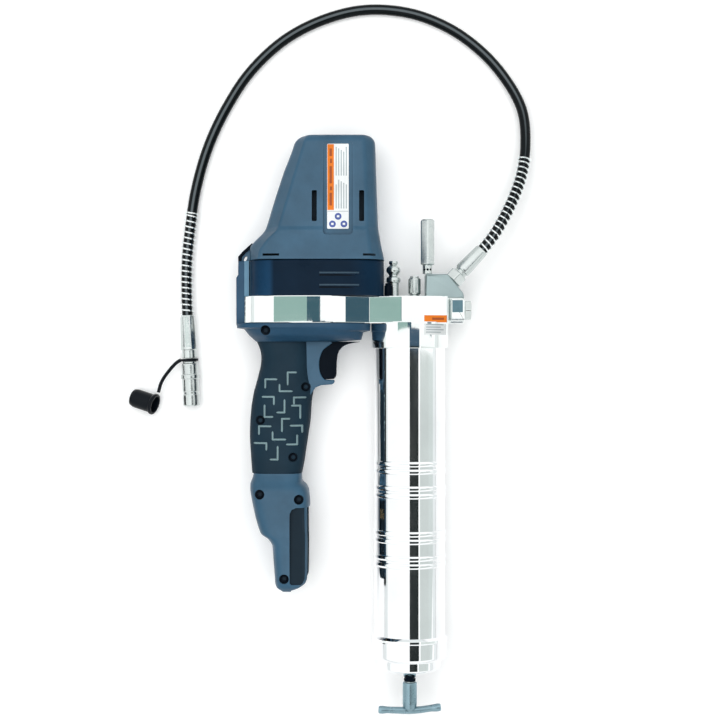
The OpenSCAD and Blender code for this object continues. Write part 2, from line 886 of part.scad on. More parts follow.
module rubber_half(heads) {
  difference() {
    grip_skin(0);
    translate([0, 0, 0.15]) {
      grip_upper_core();
      grip_lower_core();
    }
    translate([0, 0, 0.15])
      cheek(foot_outline, foot_half - 6, foot_half, 0.84, 0.93, -103, -178);
    translate([-140, -150, -1])
      cube([80, 130, 10]);
    if (heads)
      for (s = screw_seats)
        translate([s[0], s[1], -1])
          cylinder(h = 60, r = screw_head_r + 0.5, $fn = 32);
  }
}

module grip_rubber_right() color(rubber_col) place() rubber_half(true);

module grip_rubber_left() color(rubber_col) place()
  mirror([0, 0, 1])
    rubber_half(false);

// L-shaped ribs that follow the skin of the rubber
module rib_field() {
  difference() {
    intersection() {
      grip_skin(rib_h + rubber_gap);
      union() {
        for (r = rib_corners) {
          block(
            [r[0] + min(0, r[2]) - rib_half, r[1] - rib_half, 10],
            [r[0] + max(0, r[2]) + rib_half, r[1] + rib_half, 22]
          );
          block(
            [r[0] - rib_half, r[1] + min(0, r[3]) - rib_half, 10],
            [r[0] + rib_half, r[1] + max(0, r[3]) + rib_half, 22]
          );
        }
      }
    }
    grip_skin(rubber_gap);
  }
}

module grip_ribs_right() color(rib_col) place() rib_field();

module grip_ribs_left() color(rib_col) place()
  mirror([0, 0, 1])
    rib_field();

// ---------- trigger and electrics ----------
module trigger() color(black) place()
  translate([0, 0, -7.8])
    linear_extrude(15.6)
      polygon([
        [-39, -25.5], [-48.4, -27], [-55, -30], [-57.8, -34], [-59, -37], [-59, -52],
        [-60.6, -55.6], [-65.4, -57], [-76, -57], [-76, -25.5]
      ]);

module trigger_switch() color(black) place() {
  block([-112, -54, -7], [-89, -30, 7]);
  rod_x(-89.2, -83.4, -48, 0, 2.4);
}

module trigger_spring() color(steel) place()
  translate([-88.6, -38, 0])
    coil(12.2, 5, 3, 0.5);

module control_board() color([0.1, 0.35, 0.2]) place() {
  block([-115, -124, -5], [-99, -62, -3.4]);
  block([-113, -84, -3.4], [-101, -72, 3]);
  for (k = [0 : 2])
    rod_y(-112 + 5 * k, -1.3, -112, -96, 2.1);
}

module terminal_block() color(black) place() {
  block([-99.4, -176, -17], [-96.6, -160, 17]);
}

module terminal_blades() color(brass) place()
  for (z = [-12, -4, 4, 12])
    block([-96.4, -174, z - 0.4], [-88.5, -166, z + 0.4]);

module shell_screws() color(steel) place()
  for (s = screw_seats) {
    translate([s[0], s[1], -s[2] + screw_sink + 1])
      cylinder(h = 2 * (s[2] - screw_sink) - 0.5, r = screw_r, $fn = 24);
    translate([s[0], s[1], s[2] - screw_sink + 0.15])
      difference() {
        cylinder(h = 2.4, r = screw_head_r, $fn = 32);
        translate([0, 0, 1])
          cylinder(h = 3, r = 1.9, $fn = 6);
      }
  }

// Strap anchor at the rear corner: an eye in a plate whose tongue sits between the halves
module strap_bar() color(black) place() {
  difference() {
    translate([0, 0, -anchor_half])
      linear_extrude(2 * anchor_half)
        polygon([
          [-138.2, 39.8], [-138.2, 43], [-134.4, 47.2], [-129.2, 52], [-129, 39.8]
        ]);
    translate([-133, 42.6, -anchor_half - 1])
      cylinder(h = 2 * anchor_half + 2, r = eye_r, $fn = 32);
  }
  block([-129.5, 41.5, -anchor_tongue], [-121, 47, anchor_tongue]);
}

// ---------- labels ----------
module info_label() color(orange) place()
  block([-66.3, 63.6, motor_half - 0.6], [-49.2, 130.8, motor_half - 0.2]);

module head_label() color(orange) place() intersection() {
  difference() {
    rod_y(0, 0, -20, -4.5, collar_r + 0.35);
    rod_y(0, 0, -21, -4, collar_r + 0.05);
  }
  block([10.7, -20, 13.2], [32, -4.5, 32]);
}

// ---------- barrel ----------
function bead(y) = [
  [barrel_r, y - 2], [barrel_r + bead_h * 0.7, y - 1.3], [barrel_r + bead_h, y],
  [barrel_r + bead_h * 0.7, y + 1.3], [barrel_r, y + 2]
];

function beads(list) = [
  for (c = list) for (d = [-3, 3]) for (p = bead(c + d)) p
];

module barrel() color(steel) place() difference() {
  turned_y(0, 0)
    polygon(concat(
      [[barrel_r - barrel_wall, barrel_low], [barrel_r + 2.2, barrel_low],
        [barrel_r + 2.2, barrel_low + 1.4], [barrel_r, barrel_low + 3]],
      beads([-201, -181.5, -145.4, -126]),
      [[barrel_r, barrel_top], [barrel_r - barrel_wall, barrel_top]]
    ));
}

module barrel_gasket() color(black) place() difference() {
  rod_y(0, 0, barrel_top + 0.05, -11.5, barrel_r - 0.4);
  rod_y(0, 0, barrel_top - 1, -11, barrel_r - 4);
}

module barrel_end_cap() color(steel) place() difference() {
  turned_y(0, 0)
    polygon([
      [0, cap_low - 16.6], [5.6, cap_low - 16.6], [7, cap_low - 15.6],
      [23, cap_low - 9.4], [25, cap_low - 8], [25, cap_low], [29, cap_low],
      [30, cap_low + 1], [30, barrel_low - 0.1],
      [barrel_r - barrel_wall - 0.1, barrel_low - 0.1],
      [barrel_r - barrel_wall - 0.1, barrel_low + 8], [0, barrel_low + 8]
    ]);
  rod_y(0, 0, cap_low - 7, barrel_low + 9, 23);
  rod_y(0, 0, cap_low - 18, cap_low, 4.6);
}

module rod_bush() color(black) place() difference() {
  union() {
    rod_y(0, 0, cap_low - 19.8, cap_low - 16.7, 4.9);
    rod_y(0, 0, cap_low - 17, cap_low - 6, 4.5);
    rod_y(0, 0, cap_low - 6.9, cap_low - 3, 9);
  }
  rod_y(0, 0, cap_low - 21, cap_low, rod_r + 0.06);
}

module follower() color(black) place() difference() {
  turned_y(0, 0)
    polygon([
      [0, follower_top], [20, follower_top], [26.6, follower_top - 3],
      [26.9, follower_top - 5], [25.5, follower_top - 7], [26.9, follower_top - 10],
      [26.6, follower_top - 14], [22, follower_top - 14], [20, follower_top - 6],
      [0, follower_top - 6]
    ]);
  rod_y(0, 0, follower_top - 8, follower_top + 1, rod_r + 0.06);
}

module follower_spring() color(steel) place()
  translate([0, follower_top - 6.2, 0])
    rotate([0, 0, -90])
      coil(-cap_low + follower_top + 0.6, 15, 16, 1.1);

module pull_rod() color(steel) place() {
  rod_y(0, 0, cap_low - 36, follower_top + 2, rod_r);
  rod_y(0, 0, follower_top + 0.2, follower_top + 3, 7);
}

module t_handle() color(zinc) place() {
  difference() {
    union() {
      rod_y(0, 0, cap_low - 41, cap_low - 20.3, 5.8);
      translate([0, handle_y, 0])
        rotate([0, 0, asin(handle_drop / handle_reach)]) {
          rod_x(-handle_reach, handle_reach, 0, 0, handle_r);
          for (x = [-handle_reach, handle_reach])
            translate([x, 0, 0])
              sphere(r = handle_r, $fn = 32);
        }
    }
    rod_y(0, 0, cap_low - 37, cap_low - 20, rod_r + 0.06);
  }
}

pump_head();
outlet_plug();
check_ball();
check_spring();
relief_valve();
bleeder_valve();
loader_fitting();
vent_plug();
hose_adapter();
inlet_ferrule();
hose();
inlet_guard();
outlet_guard();
coupler_ferrule();
coupler_body();
coupler_sleeve();
coupler_jaws();
cap_tether();
dust_cap();
gear_cover();
ring_gear();
planet_carrier();
crank();
main_bearing();
planet_1();
planet_2();
planet_3();
sun_gear();
motor_plate();
motor_can();
motor_magnets();
motor_shaft();
armature();
motor_fan();
plunger();
plunger_seal();
shell_right();
shell_left();
grip_rubber_right();
grip_rubber_left();
grip_ribs_right();
grip_ribs_left();
trigger();
trigger_spring();
trigger_switch();
control_board();
terminal_block();
terminal_blades();
shell_screws();
strap_bar();
info_label();
head_label();
barrel();
barrel_gasket();
barrel_end_cap();
rod_bush();
follower();
follower_spring();
pull_rod();
t_handle();
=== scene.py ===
import json
import math

import bmesh
import bpy
import numpy as np
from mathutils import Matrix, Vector
from mathutils.bvhtree import BVHTree

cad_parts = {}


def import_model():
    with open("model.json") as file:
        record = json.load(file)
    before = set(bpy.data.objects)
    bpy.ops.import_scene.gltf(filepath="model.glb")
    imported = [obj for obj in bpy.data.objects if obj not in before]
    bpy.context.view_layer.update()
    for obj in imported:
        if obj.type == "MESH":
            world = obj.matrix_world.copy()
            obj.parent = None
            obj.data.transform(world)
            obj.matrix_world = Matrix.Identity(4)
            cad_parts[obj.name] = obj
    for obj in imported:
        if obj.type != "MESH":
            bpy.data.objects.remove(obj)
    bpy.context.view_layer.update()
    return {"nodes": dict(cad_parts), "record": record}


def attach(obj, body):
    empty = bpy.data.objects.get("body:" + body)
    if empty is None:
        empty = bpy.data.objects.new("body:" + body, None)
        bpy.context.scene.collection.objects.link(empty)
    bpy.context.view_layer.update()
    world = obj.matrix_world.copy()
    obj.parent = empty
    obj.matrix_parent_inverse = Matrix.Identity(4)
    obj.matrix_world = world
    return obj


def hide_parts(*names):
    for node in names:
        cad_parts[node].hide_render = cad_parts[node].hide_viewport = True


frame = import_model()

# Working frame in millimetres: x from the barrel's axis, y from the band's middle, z from the mid plane.
ORIGIN = np.array([45.2, 93.9, 38.0])
MM = 0.001
CENTRE, ACROSS, ALONG = (0, 0, 0), (1, 0, 0), (0, 1, 0)


def world(points):
    return (np.asarray(points, float) + ORIGIN) * MM


def link(name, data):
    obj = bpy.data.objects.new(name, data)
    bpy.context.scene.collection.objects.link(obj)
    return obj


# --- camera ---
CAMERA_HEIGHT = 1250.0
VIEW_WIDTH = 583.0  # of what the camera sees on the mid plane
VIEW_CENTRE = (-40.3, -40.1)
cam_data = bpy.data.cameras.new("camera")
cam = link("camera", cam_data)
cam.location = world([*VIEW_CENTRE, CAMERA_HEIGHT])
cam_data.sensor_width = 36.0
cam_data.lens = 36.0 * CAMERA_HEIGHT / VIEW_WIDTH
cam_data.clip_end = 20.0
bpy.context.scene.camera = cam


# --- mesh helpers ---
SHARP_ANGLE = 32
CAD_SHARP_ANGLE = 28


def face_outwards(mesh):
    bm = bmesh.new()
    bm.from_mesh(mesh)
    bmesh.ops.recalc_face_normals(bm, faces=bm.faces)
    bm.to_mesh(mesh)
    bm.free()


def merge(parts):
    """Joins (verts, faces) or (verts, faces, material index) parts into one list of each."""
    verts, faces, mats = [], [], []
    for v, f, *index in parts:
        base = len(verts)
        verts.extend(v)
        faces.extend(tuple(i + base for i in face) for face in f)
        mats.extend((index or [0]) * len(f))
    return verts, faces, mats


def add_object(name, parts, materials, body="head", angle=SHARP_ANGLE):
    """One object from parts in working millimetres: smooth, but sharp at edges over the angle."""
    verts, faces, mats = merge(parts)
    mesh = bpy.data.meshes.new(name)
    mesh.from_pydata([tuple(v) for v in world(verts)], [], faces)
    mesh.update()
    for m in materials:
        mesh.materials.append(m)
    mesh.polygons.foreach_set("material_index", np.asarray(mats, np.int32))
    face_outwards(mesh)
    mesh.shade_smooth()
    mesh.set_sharp_from_angle(angle=math.radians(angle))
    obj = link(name, mesh)
    obj.modifiers.new("weights", "WEIGHTED_NORMAL").keep_sharp = True
    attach(obj, body)
    return obj


def round_corners(points, radii, steps=6, share=0.48):
    """Open polyline with each inner corner rounded by its own radius; every corner gives the same count."""
    p = [np.array(q, float) for q in points]
    out = [p[0]]
    for a, b, c, radius in zip(p, p[1:], p[2:], radii):
        la, lc = max(np.linalg.norm(a - b), 1e-6), max(np.linalg.norm(c - b), 1e-6)
        d = min(radius, share * la, share * lc)
        s, e = b + (a - b) / la * d, b + (c - b) / lc * d
        for t in np.arange(steps + 1) / steps:
            out.append((1 - t) ** 2 * s + 2 * t * (1 - t) * b + t * t * e)
    return out + [p[-1]]


def fillet(profile, radius):
    """Rounds every inner corner of an open profile of (r, t) points."""
    return round_corners(profile, [radius] * (len(profile) - 2), 4, 0.45)


def frame_axes(direction):
    d = np.asarray(direction, float)
    d = d / np.linalg.norm(d)
    ref = np.array([0.0, 0.0, 1.0]) if abs(d[2]) < 0.9 else np.array([1.0, 0.0, 0.0])
    s = np.cross(d, ref)
    s /= np.linalg.norm(s)
    return d, s, np.cross(s, d)


def lathe_data(profile, origin, direction, segments=96, shape=None):
    d, s, u = frame_axes(direction)
    o = np.asarray(origin, float)
    verts, faces, rings = [], [], []
    for r, t in profile:
        if r < 1e-6:
            rings.append([len(verts)])
            verts.append(o + d * t)
            continue
        ring = []
        for k in range(segments):
            a = 2 * math.pi * k / segments
            rr = r * (shape(a, t) if shape else 1.0)
            ring.append(len(verts))
            verts.append(o + d * t + s * (rr * math.cos(a)) + u * (rr * math.sin(a)))
        rings.append(ring)
    for a, b in zip(rings, rings[1:]):
        for k in range(segments):
            j = (k + 1) % segments
            if len(a) == 1 and len(b) == 1:
                continue
            if len(a) == 1:
                faces.append((a[0], b[j], b[k]))
            elif len(b) == 1:
                faces.append((a[k], a[j], b[0]))
            else:
                faces.append((a[k], a[j], b[j], b[k]))
    return verts, faces


def lathe(name, profile, origin, direction, material, body="head", radius=0.4, segments=96, shape=None):
    part = lathe_data(fillet(profile, radius), origin, direction, segments, shape)
    return add_object(name, [part], [material], body)


def hex_between(low, high):
    """Radius factor of a hexagon with slightly rounded corners, on the stretch between two lengths."""
    def factor(a, t):
        b = (a + math.pi / 6) % (math.pi / 3) - math.pi / 6
        return min(1.0 / math.cos(b), 1.12) if low < t < high else 1.0
    return factor


def tube_faces(rings, n):
    """Quads between rings of n points laid one after another, and a cap on both ends."""
    faces = [(i * n + k, i * n + (k + 1) % n, (i + 1) * n + (k + 1) % n, (i + 1) * n + k)
             for i in range(rings - 1) for k in range(n)]
    return faces + [tuple(range(n - 1, -1, -1)), tuple(range((rings - 1) * n, rings * n))]


def prism_data(outline, low, high):
    """Closed prism of an outline in x and y."""
    return [(x, y, z) for z in (low, high) for x, y in outline], tube_faces(2, len(outline))


def bevel(obj, width_mm, segments=3):
    mod = obj.modifiers.new("bevel", "BEVEL")
    mod.width = width_mm * MM
    mod.segments = segments
    mod.limit_method = "ANGLE"
    mod.angle_limit = math.radians(30)
    obj.modifiers.move(1, 0)  # ahead of the weighted normals
    return obj


def prism(name, outline, low, high, material, body="head", width=0.6, segments=3):
    return bevel(add_object(name, [prism_data(outline, low, high)], [material], body), width, segments)


def cut(obj, cutters, material=None):
    """Cuts closed parts in working millimetres out of an object for good; the walls take the material."""
    verts, faces, _ = merge(cutters)
    mesh = bpy.data.meshes.new("cutter")
    mesh.from_pydata([tuple(v) for v in world(verts)], [], faces)
    face_outwards(mesh)
    if material is not None:
        mesh.materials.append(material)
    tool = link("cutter", mesh)
    others = list(obj.modifiers)
    for other in others:
        other.show_viewport = False
    mod = obj.modifiers.new("cut", "BOOLEAN")
    mod.operation = "DIFFERENCE"
    mod.object = tool
    mod.solver = "EXACT"
    mod.use_self = True
    mod.material_mode = "TRANSFER"
    bpy.context.view_layer.update()
    old = obj.data
    result = bpy.data.meshes.new_from_object(obj.evaluated_get(bpy.context.evaluated_depsgraph_get()))
    obj.modifiers.remove(mod)
    for other in others:
        other.show_viewport = True
    obj.data = result
    bpy.data.objects.remove(tool)
    for unused in (old, mesh):
        bpy.data.meshes.remove(unused)
    obj.data.set_sharp_from_angle(angle=math.radians(SHARP_ANGLE))


def cylinder_data(x, y, z0, z1, r, n=40):
    ring = [(x + r * math.cos(2 * math.pi * k / n), y + r * math.sin(2 * math.pi * k / n)) for k in range(n)]
    return prism_data(ring, z0, z1)


def box_data(lo, hi):
    return prism_data([(lo[0], lo[1]), (hi[0], lo[1]), (hi[0], hi[1]), (lo[0], hi[1])], lo[2], hi[2])


def rounded_rect(x0, y0, x1, y1, r, n=5):
    pts = []
    for cx, cy, a0 in ((x1 - r, y1 - r, 0), (x0 + r, y1 - r, 90), (x0 + r, y0 + r, 180), (x1 - r, y0 + r, 270)):
        for i in range(n + 1):
            a = math.radians(a0 + 90 * i / n)
            pts.append((cx + r * math.cos(a), cy + r * math.sin(a)))
    return pts


# --- path helpers ---
def catmull(points, per_span=12):
    p = [np.array(q, float) for q in points]
    out = []
    for i in range(len(p) - 1):
        a, b, c, d = p[max(i - 1, 0)], p[i], p[i + 1], p[min(i + 2, len(p) - 1)]
        for k in range(per_span):
            t = k / per_span
            out.append(0.5 * (2 * b + (c - a) * t + (2 * a - 5 * b + 4 * c - d) * t * t
                              + (3 * b - a - 3 * c + d) * t ** 3))
    out.append(p[-1])
    return np.array(out)


def resample(path, step):
    seg = np.linalg.norm(np.diff(path, axis=0), axis=1)
    s = np.concatenate([[0], np.cumsum(seg)])
    n = max(2, int(round(s[-1] / step)) + 1)
    t = np.linspace(0, s[-1], n)
    return np.stack([np.interp(t, s, path[:, k]) for k in range(3)], 1), float(s[-1])


def ring_frames(path):
    tang = np.gradient(path, axis=0)
    tang /= np.linalg.norm(tang, axis=1)[:, None]
    side = np.cross(tang, [0.0, 0.0, 1.0])
    side /= np.linalg.norm(side, axis=1)[:, None]
    return side, np.cross(side, tang)


def tube_data(path, radius, sides, axes=None):
    """Closed round tube about a path; axes are each ring's side and up, by default level and square to it."""
    side, up = axes or ring_frames(path)
    radii = np.broadcast_to(radius, (len(path),))
    turn = [2 * math.pi * k / sides for k in range(sides)]
    verts = [p + r * (math.cos(a) * s + math.sin(a) * u) for p, r, s, u in zip(path, radii, side, up) for a in turn]
    return verts, tube_faces(len(path), sides)


# --- materials ---
def new_material(name):
    m = bpy.data.materials.new(name)
    m.use_nodes = True
    m.node_tree.nodes.clear()
    out = m.node_tree.nodes.new("ShaderNodeOutputMaterial")
    bsdf = m.node_tree.nodes.new("ShaderNodeBsdfPrincipled")
    m.node_tree.links.new(bsdf.outputs[0], out.inputs[0])
    return m, m.node_tree, bsdf


def node(tree, kind, **values):
    n = tree.nodes.new(kind)
    for key, value in values.items():
        if key in n.inputs:
            n.inputs[key].default_value = value
        else:
            setattr(n, key, value)
    return n


def noise(tree, scale, detail=4.0, rough=0.6, stretch=None):
    place = tree.nodes.new("ShaderNodeTexCoord").outputs["Object"]
    if stretch:
        mapping = node(tree, "ShaderNodeMapping", Scale=stretch)
        tree.links.new(place, mapping.inputs["Vector"])
        place = mapping.outputs[0]
    n = node(tree, "ShaderNodeTexNoise", Scale=scale, Detail=detail, Roughness=rough)
    tree.links.new(place, n.inputs["Vector"])
    return n.outputs["Fac"]


def ramp(tree, source, stops):
    r = tree.nodes.new("ShaderNodeValToRGB")
    while len(r.color_ramp.elements) < len(stops):
        r.color_ramp.elements.new(0.5)
    for e, (pos, col) in zip(r.color_ramp.elements, stops):
        e.position = pos
        e.color = (*col, 1.0)
    tree.links.new(source, r.inputs["Fac"])
    return r.outputs[0]


def grey(v):
    return (v, v, v)


def edge_wear(tree, low=0.505, high=0.56):
    geo = tree.nodes.new("ShaderNodeNewGeometry")
    return ramp(tree, geo.outputs["Pointiness"], [(low, grey(0)), (high, grey(1))])


def feed(tree, sockets, values):
    """Links each socket to an output, or sets its own number or colour."""
    for socket, value in zip(sockets, values):
        if isinstance(value, bpy.types.NodeSocket):
            tree.links.new(value, socket)
        else:
            socket.default_value = value if isinstance(value, float) else (*value, 1.0)


def mix_color(tree, fac, a, b):
    m = node(tree, "ShaderNodeMix", data_type="RGBA")
    feed(tree, (m.inputs[0], m.inputs[6], m.inputs[7]), (fac, a, b))
    return m.outputs[2]


def product(tree, a, b):
    m = node(tree, "ShaderNodeMath", operation="MULTIPLY")
    feed(tree, m.inputs, (a, b))
    return m.outputs[0]


def along(tree, source, axis):
    split = tree.nodes.new("ShaderNodeSeparateXYZ")
    tree.links.new(source, split.inputs[0])
    return split.outputs[axis]


def paint_light_along(tree, color, painted_light_zones):
    """Painted light and shade: colour times a factor (up to 4) read from (millimetre, factor) stops along the object's
    x.
    """
    low, high = painted_light_zones[0][0], painted_light_zones[-1][0]
    span = node(tree, "ShaderNodeMapRange", **{"From Min": (low + ORIGIN[0]) * MM, "From Max": (high + ORIGIN[0]) * MM})
    x = along(tree, tree.nodes.new("ShaderNodeTexCoord").outputs["Object"], 0)
    tree.links.new(x, span.inputs["Value"])
    stops = ramp(tree, span.outputs[0], [((p - low) / (high - low), grey(f / 4)) for p, f in painted_light_zones])
    bigger = node(tree, "ShaderNodeVectorMath", operation="SCALE", Scale=4.0)
    tree.links.new(stops, bigger.inputs[0])
    times = node(tree, "ShaderNodeVectorMath", operation="MULTIPLY")
    feed(tree, times.inputs, (color, bigger.outputs[0]))
    return times.outputs[0]


def surface(tree, bsdf, color, height, bump, depth, marks, *stops):
    """Base colour, bump from one noise, and roughness between (position, value) stops of another."""
    bump_node = node(tree, "ShaderNodeBump", Strength=bump, Distance=depth)
    tree.links.new(height, bump_node.inputs["Height"])
    rough = ramp(tree, marks, [(position, grey(value)) for position, value in stops])
    feed(tree, [bsdf.inputs[k] for k in ("Base Color", "Roughness", "Normal")], (color, rough, bump_node.outputs[0]))


def plastic(name, color, rough, bump=0.05, grain=900.0, wear=0.25, spec=0.5, painted_light_zones=None, painted_sheen=None):
    """Moulded plastic or rubber: blotchy colour, worn edges, fine grain and roughness that wanders; optional painted
    light along x and a painted sheen where it faces up.
    """
    m, t, b = new_material(name)
    base = np.array(color)
    tint = ramp(t, noise(t, 35.0, 5.0), [(0.3, base * 0.86), (0.7, np.minimum(base * 1.14, 1))])
    worn = product(t, product(t, edge_wear(t), noise(t, 260.0, 6.0, 0.7)), wear * 2)
    shade = mix_color(t, worn, tint, np.minimum(base * 1.9 + 0.03, 1))
    if painted_light_zones:
        shade = paint_light_along(t, shade, painted_light_zones)
    # Painted highlight: a lighter colour wherever the surface faces up.
    if painted_sheen:
        up = along(t, t.nodes.new("ShaderNodeNewGeometry").outputs["Normal"], 2)
        shade = mix_color(t, ramp(t, up, [(0.955, grey(0)), (0.992, grey(1))]), shade, painted_sheen)
    surface(t, b, shade, noise(t, grain, 3.0, 0.55), bump, 0.0004,
            noise(t, 60.0, 6.0), (0.3, max(rough - 0.07, 0)), (0.7, min(rough + 0.07, 1)))
    b.inputs["Specular IOR Level"].default_value = spec
    return m


def metal(name, color, rough, bump=0.02, stretch=None, scale=120.0, spread=0.06, dark=0.85):
    """Bare or plated metal: faint marks drawn along one way, roughness that wanders, edges brighter."""
    m, t, b = new_material(name)
    base = np.array(color)
    b.inputs["Metallic"].default_value = 1.0
    tint = ramp(t, noise(t, 28.0, 6.0), [(0.3, base * dark), (0.68, np.minimum(base * 1.04, 1))])
    shade = mix_color(t, edge_wear(t, 0.51, 0.58), tint, np.minimum(base * 1.15, 1))
    marks = noise(t, scale, 8.0, 0.7, stretch)
    surface(t, b, shade, marks, bump, 0.0003, marks, (0.3, max(rough - spread, 0.01)), (0.72, rough + spread))
    return m


SHELL = plastic("shell_blue_plastic", (0.036, 0.1, 0.166), 0.42, bump=0.1, grain=1500.0, wear=0.12, spec=0.18)
# A lighter copy of the shell colour for the ledge: painted highlight.
SHELL_PAINTED_HIGHLIGHT = plastic("shell_ledge_painted_highlight", (0.095, 0.21, 0.31), 0.42, bump=0.1, grain=1500.0, wear=0.1, spec=0.18)
# A darker copy of the shell colour for the flange and spine: painted shade.
SHELL_PAINTED_SHADE = plastic("shell_painted_shade_plastic", (0.019, 0.066, 0.125), 0.42, bump=0.1, grain=1500.0, wear=0.1, spec=0.14)
# Near black for the walls of slots, pockets and holes cut into the shell: painted shade in the recesses.
SHELL_RECESS_SHADE = plastic("shell_recess_painted_shade", (0.004, 0.0155, 0.027), 0.5, bump=0.1, spec=0.1)
# Painted light on the gear case: the stops lighten its left end as a painted reflection, and its right end where its
# curve falls into shade.
CASE = plastic("case_dark_paint", (0.0028, 0.0137, 0.031), 0.32, bump=0.06, grain=700.0, wear=0.08, spec=0.04,
               painted_light_zones=[(-129, 1.5), (-124, 2.2), (-114, 3.1), (-111.5, 3.0), (-108.2, 1.0), (-48, 1.0), (-30, 1.5),
                      (-21, 1.8)])
# Lighter paint for the line on top of each case rib: painted highlight.
CASE_RIB_HIGHLIGHT = plastic("case_rib_painted_highlight", (0.02, 0.05, 0.08), 0.32, bump=0.06, grain=700.0, wear=0.1, spec=0.15)
GRIP = plastic("grip_rubber_dark", (0.0069, 0.0247, 0.0417), 0.6, bump=0.25, grain=1300.0, wear=0.08, spec=0.1)
RIB = plastic("rib_rubber_grey", (0.17, 0.26, 0.28), 0.55, bump=0.15, wear=0.1, spec=0.2)
BLACK = plastic("black_plastic", (0.001, 0.004, 0.009), 0.35, bump=0.08, wear=0.08, spec=0.03)
RUBBER = plastic("black_rubber", (0.002, 0.004, 0.007), 0.35, bump=0.15, grain=1000.0, wear=0.05, spec=0.12)
# The hose's painted sheen: a painted highlight line along its upper side.
HOSE_MAT = plastic("hose_rubber", (0.001, 0.003, 0.004), 0.25, bump=0.08, grain=800.0, wear=0.03, spec=0.12,
                   painted_sheen=(0.1, 0.12, 0.13))
CHROME = metal("chrome_plate", (0.86, 0.87, 0.88), 0.05, bump=0.006, stretch=(1.0, 0.05, 1.0), scale=260.0,
               spread=0.025, dark=0.95)
POLISHED = metal("polished_aluminium", (0.84, 0.87, 0.86), 0.03, bump=0.002, stretch=(0.06, 1.0, 0.06),
                 scale=300.0, spread=0.018, dark=0.95)
SATIN = metal("satin_aluminium", (0.27, 0.335, 0.34), 0.45, bump=0.02, scale=260.0, spread=0.06, dark=0.95)
STEEL = metal("plated_steel", (0.6, 0.64, 0.63), 0.2, bump=0.02, scale=220.0, spread=0.07)
WIRE = metal("spring_wire", (0.72, 0.75, 0.75), 0.18, scale=400.0)
ZINC = metal("zinc_plate_blue", (0.23, 0.34, 0.39), 0.3, bump=0.03, scale=160.0, spread=0.08)
GEAR = metal("gear_steel", (0.35, 0.35, 0.36), 0.3, scale=300.0)
BRASS = metal("brass_contacts", (0.8, 0.6, 0.3), 0.25, scale=200.0)
COPPER = metal("copper_winding", (0.72, 0.36, 0.2), 0.35, stretch=(1.0, 0.1, 1.0), scale=500.0)
BOARD = plastic("board_green", (0.01, 0.1, 0.05), 0.35, bump=0.15, grain=400.0)
LABEL_WHITE = plastic("label_white", (0.75, 0.78, 0.78), 0.35, bump=0.02, wear=0.0)
LABEL_ORANGE = plastic("label_orange", (0.78, 0.19, 0.012), 0.35, bump=0.02, wear=0.0, spec=0.1)
LABEL_GREY = plastic("label_grey_print", (0.35, 0.4, 0.42), 0.4, bump=0.02, wear=0.0)
LABEL_BLUE = plastic("label_blue_print", (0.06, 0.1, 0.34), 0.4, bump=0.02, wear=0.0, spec=0.2)
LABEL_BROWN = plastic("label_brown_print", (0.36, 0.07, 0.008), 0.4, bump=0.02, wear=0.0, spec=0.15)
INSET = plastic("outlet_inset_blue", (0.08, 0.17, 0.21), 0.3, bump=0.05, wear=0.05, spec=0.2)

FINISH = {
    "polished_aluminium": POLISHED, "bright_steel": STEEL, "chrome": CHROME, "gear_steel": GEAR,
    "brass": BRASS, "zinc_plate": ZINC, "shell_blue": SHELL, "case_dark": CASE, "grip_rubber": GRIP,
    "rib_grey": RIB, "black_plastic": BLACK, "black_rubber": RUBBER, "board_green": BOARD,
    "label": LABEL_ORANGE, "copper": COPPER,
}
slot_of = {s["node"]: s["material_slot"] for s in frame["record"]["subparts"]}
for cad_name, cad_obj in frame["nodes"].items():
    cad_obj.data.materials.clear()
    cad_obj.data.materials.append(FINISH[slot_of[cad_name]])
    cad_obj.data.shade_smooth()
    cad_obj.data.set_sharp_from_angle(angle=math.radians(CAD_SHARP_ANGLE))


def stands_for(obj, slot_name, *nodes):
    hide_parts(*nodes)
    return obj


# --- hose, guards and the pieces on it ---
# The hose leaves the outlet block at EXIT, lies on the floor at height LIE, and meets the coupler at TAIL
EXIT_ANGLE = math.radians(46.3)
EXIT = np.array([40.7, 30.4, 0.0])
EXIT_DIR = np.array([math.cos(EXIT_ANGLE), math.sin(EXIT_ANGLE), 0.0])
TILT = math.radians(2.7)
TAIL = np.array([-183.3, -3.0, -29.7])
TAIL_DIR = np.array([math.sin(TILT), -math.cos(TILT), 0.0])
LIE = -33.7
HOSE_RADIUS = 4.25
route = [tuple(EXIT + EXIT_DIR * t) for t in (2, 13, 26)] + [
    (70, 64, -2), (83, 88, -8), (92, 112, -15), (96, 138, -22), (94, 166, -28), (82, 191, -32),
    (62, 215, -33.5), (35, 235, LIE), (2, 248, LIE), (-35, 251, LIE), (-70, 243, LIE), (-103, 226, LIE),
    (-131, 200, LIE), (-151, 170, LIE), (-166, 138, -33), (-176, 104, -32.5), (-181, 72, -31.5),
    (-184, 40, -31), (-184, 12, -30),
] + [tuple(TAIL + TAIL_DIR * t) for t in (0, 13)]
hose_path, hose_length = resample(catmull(route, 16), 3.0)
curve = bpy.data.curves.new("hose_line", "CURVE")
curve.dimensions = "3D"
curve.bevel_depth = HOSE_RADIUS * MM
curve.bevel_resolution = 8
curve.use_fill_caps = True
line = curve.splines.new("POLY")
line.points.add(len(hose_path) - 1)
for point, p in zip(line.points, world(hose_path)):
    point.co = (*p, 1.0)
line.use_smooth = True
curve.materials.append(HOSE_MAT)
hose = link("hose_rubber_line", curve)
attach(hose, "head")
stands_for(hose, "black_rubber", "hose")


GUARD_RADIUS, WIRE_RADIUS = 5.1, 0.8
GUARD_STEP = 0.5  # between the points that the wire is wound along
TIGHT_TURN = 1.7  # length of the turn that closes up


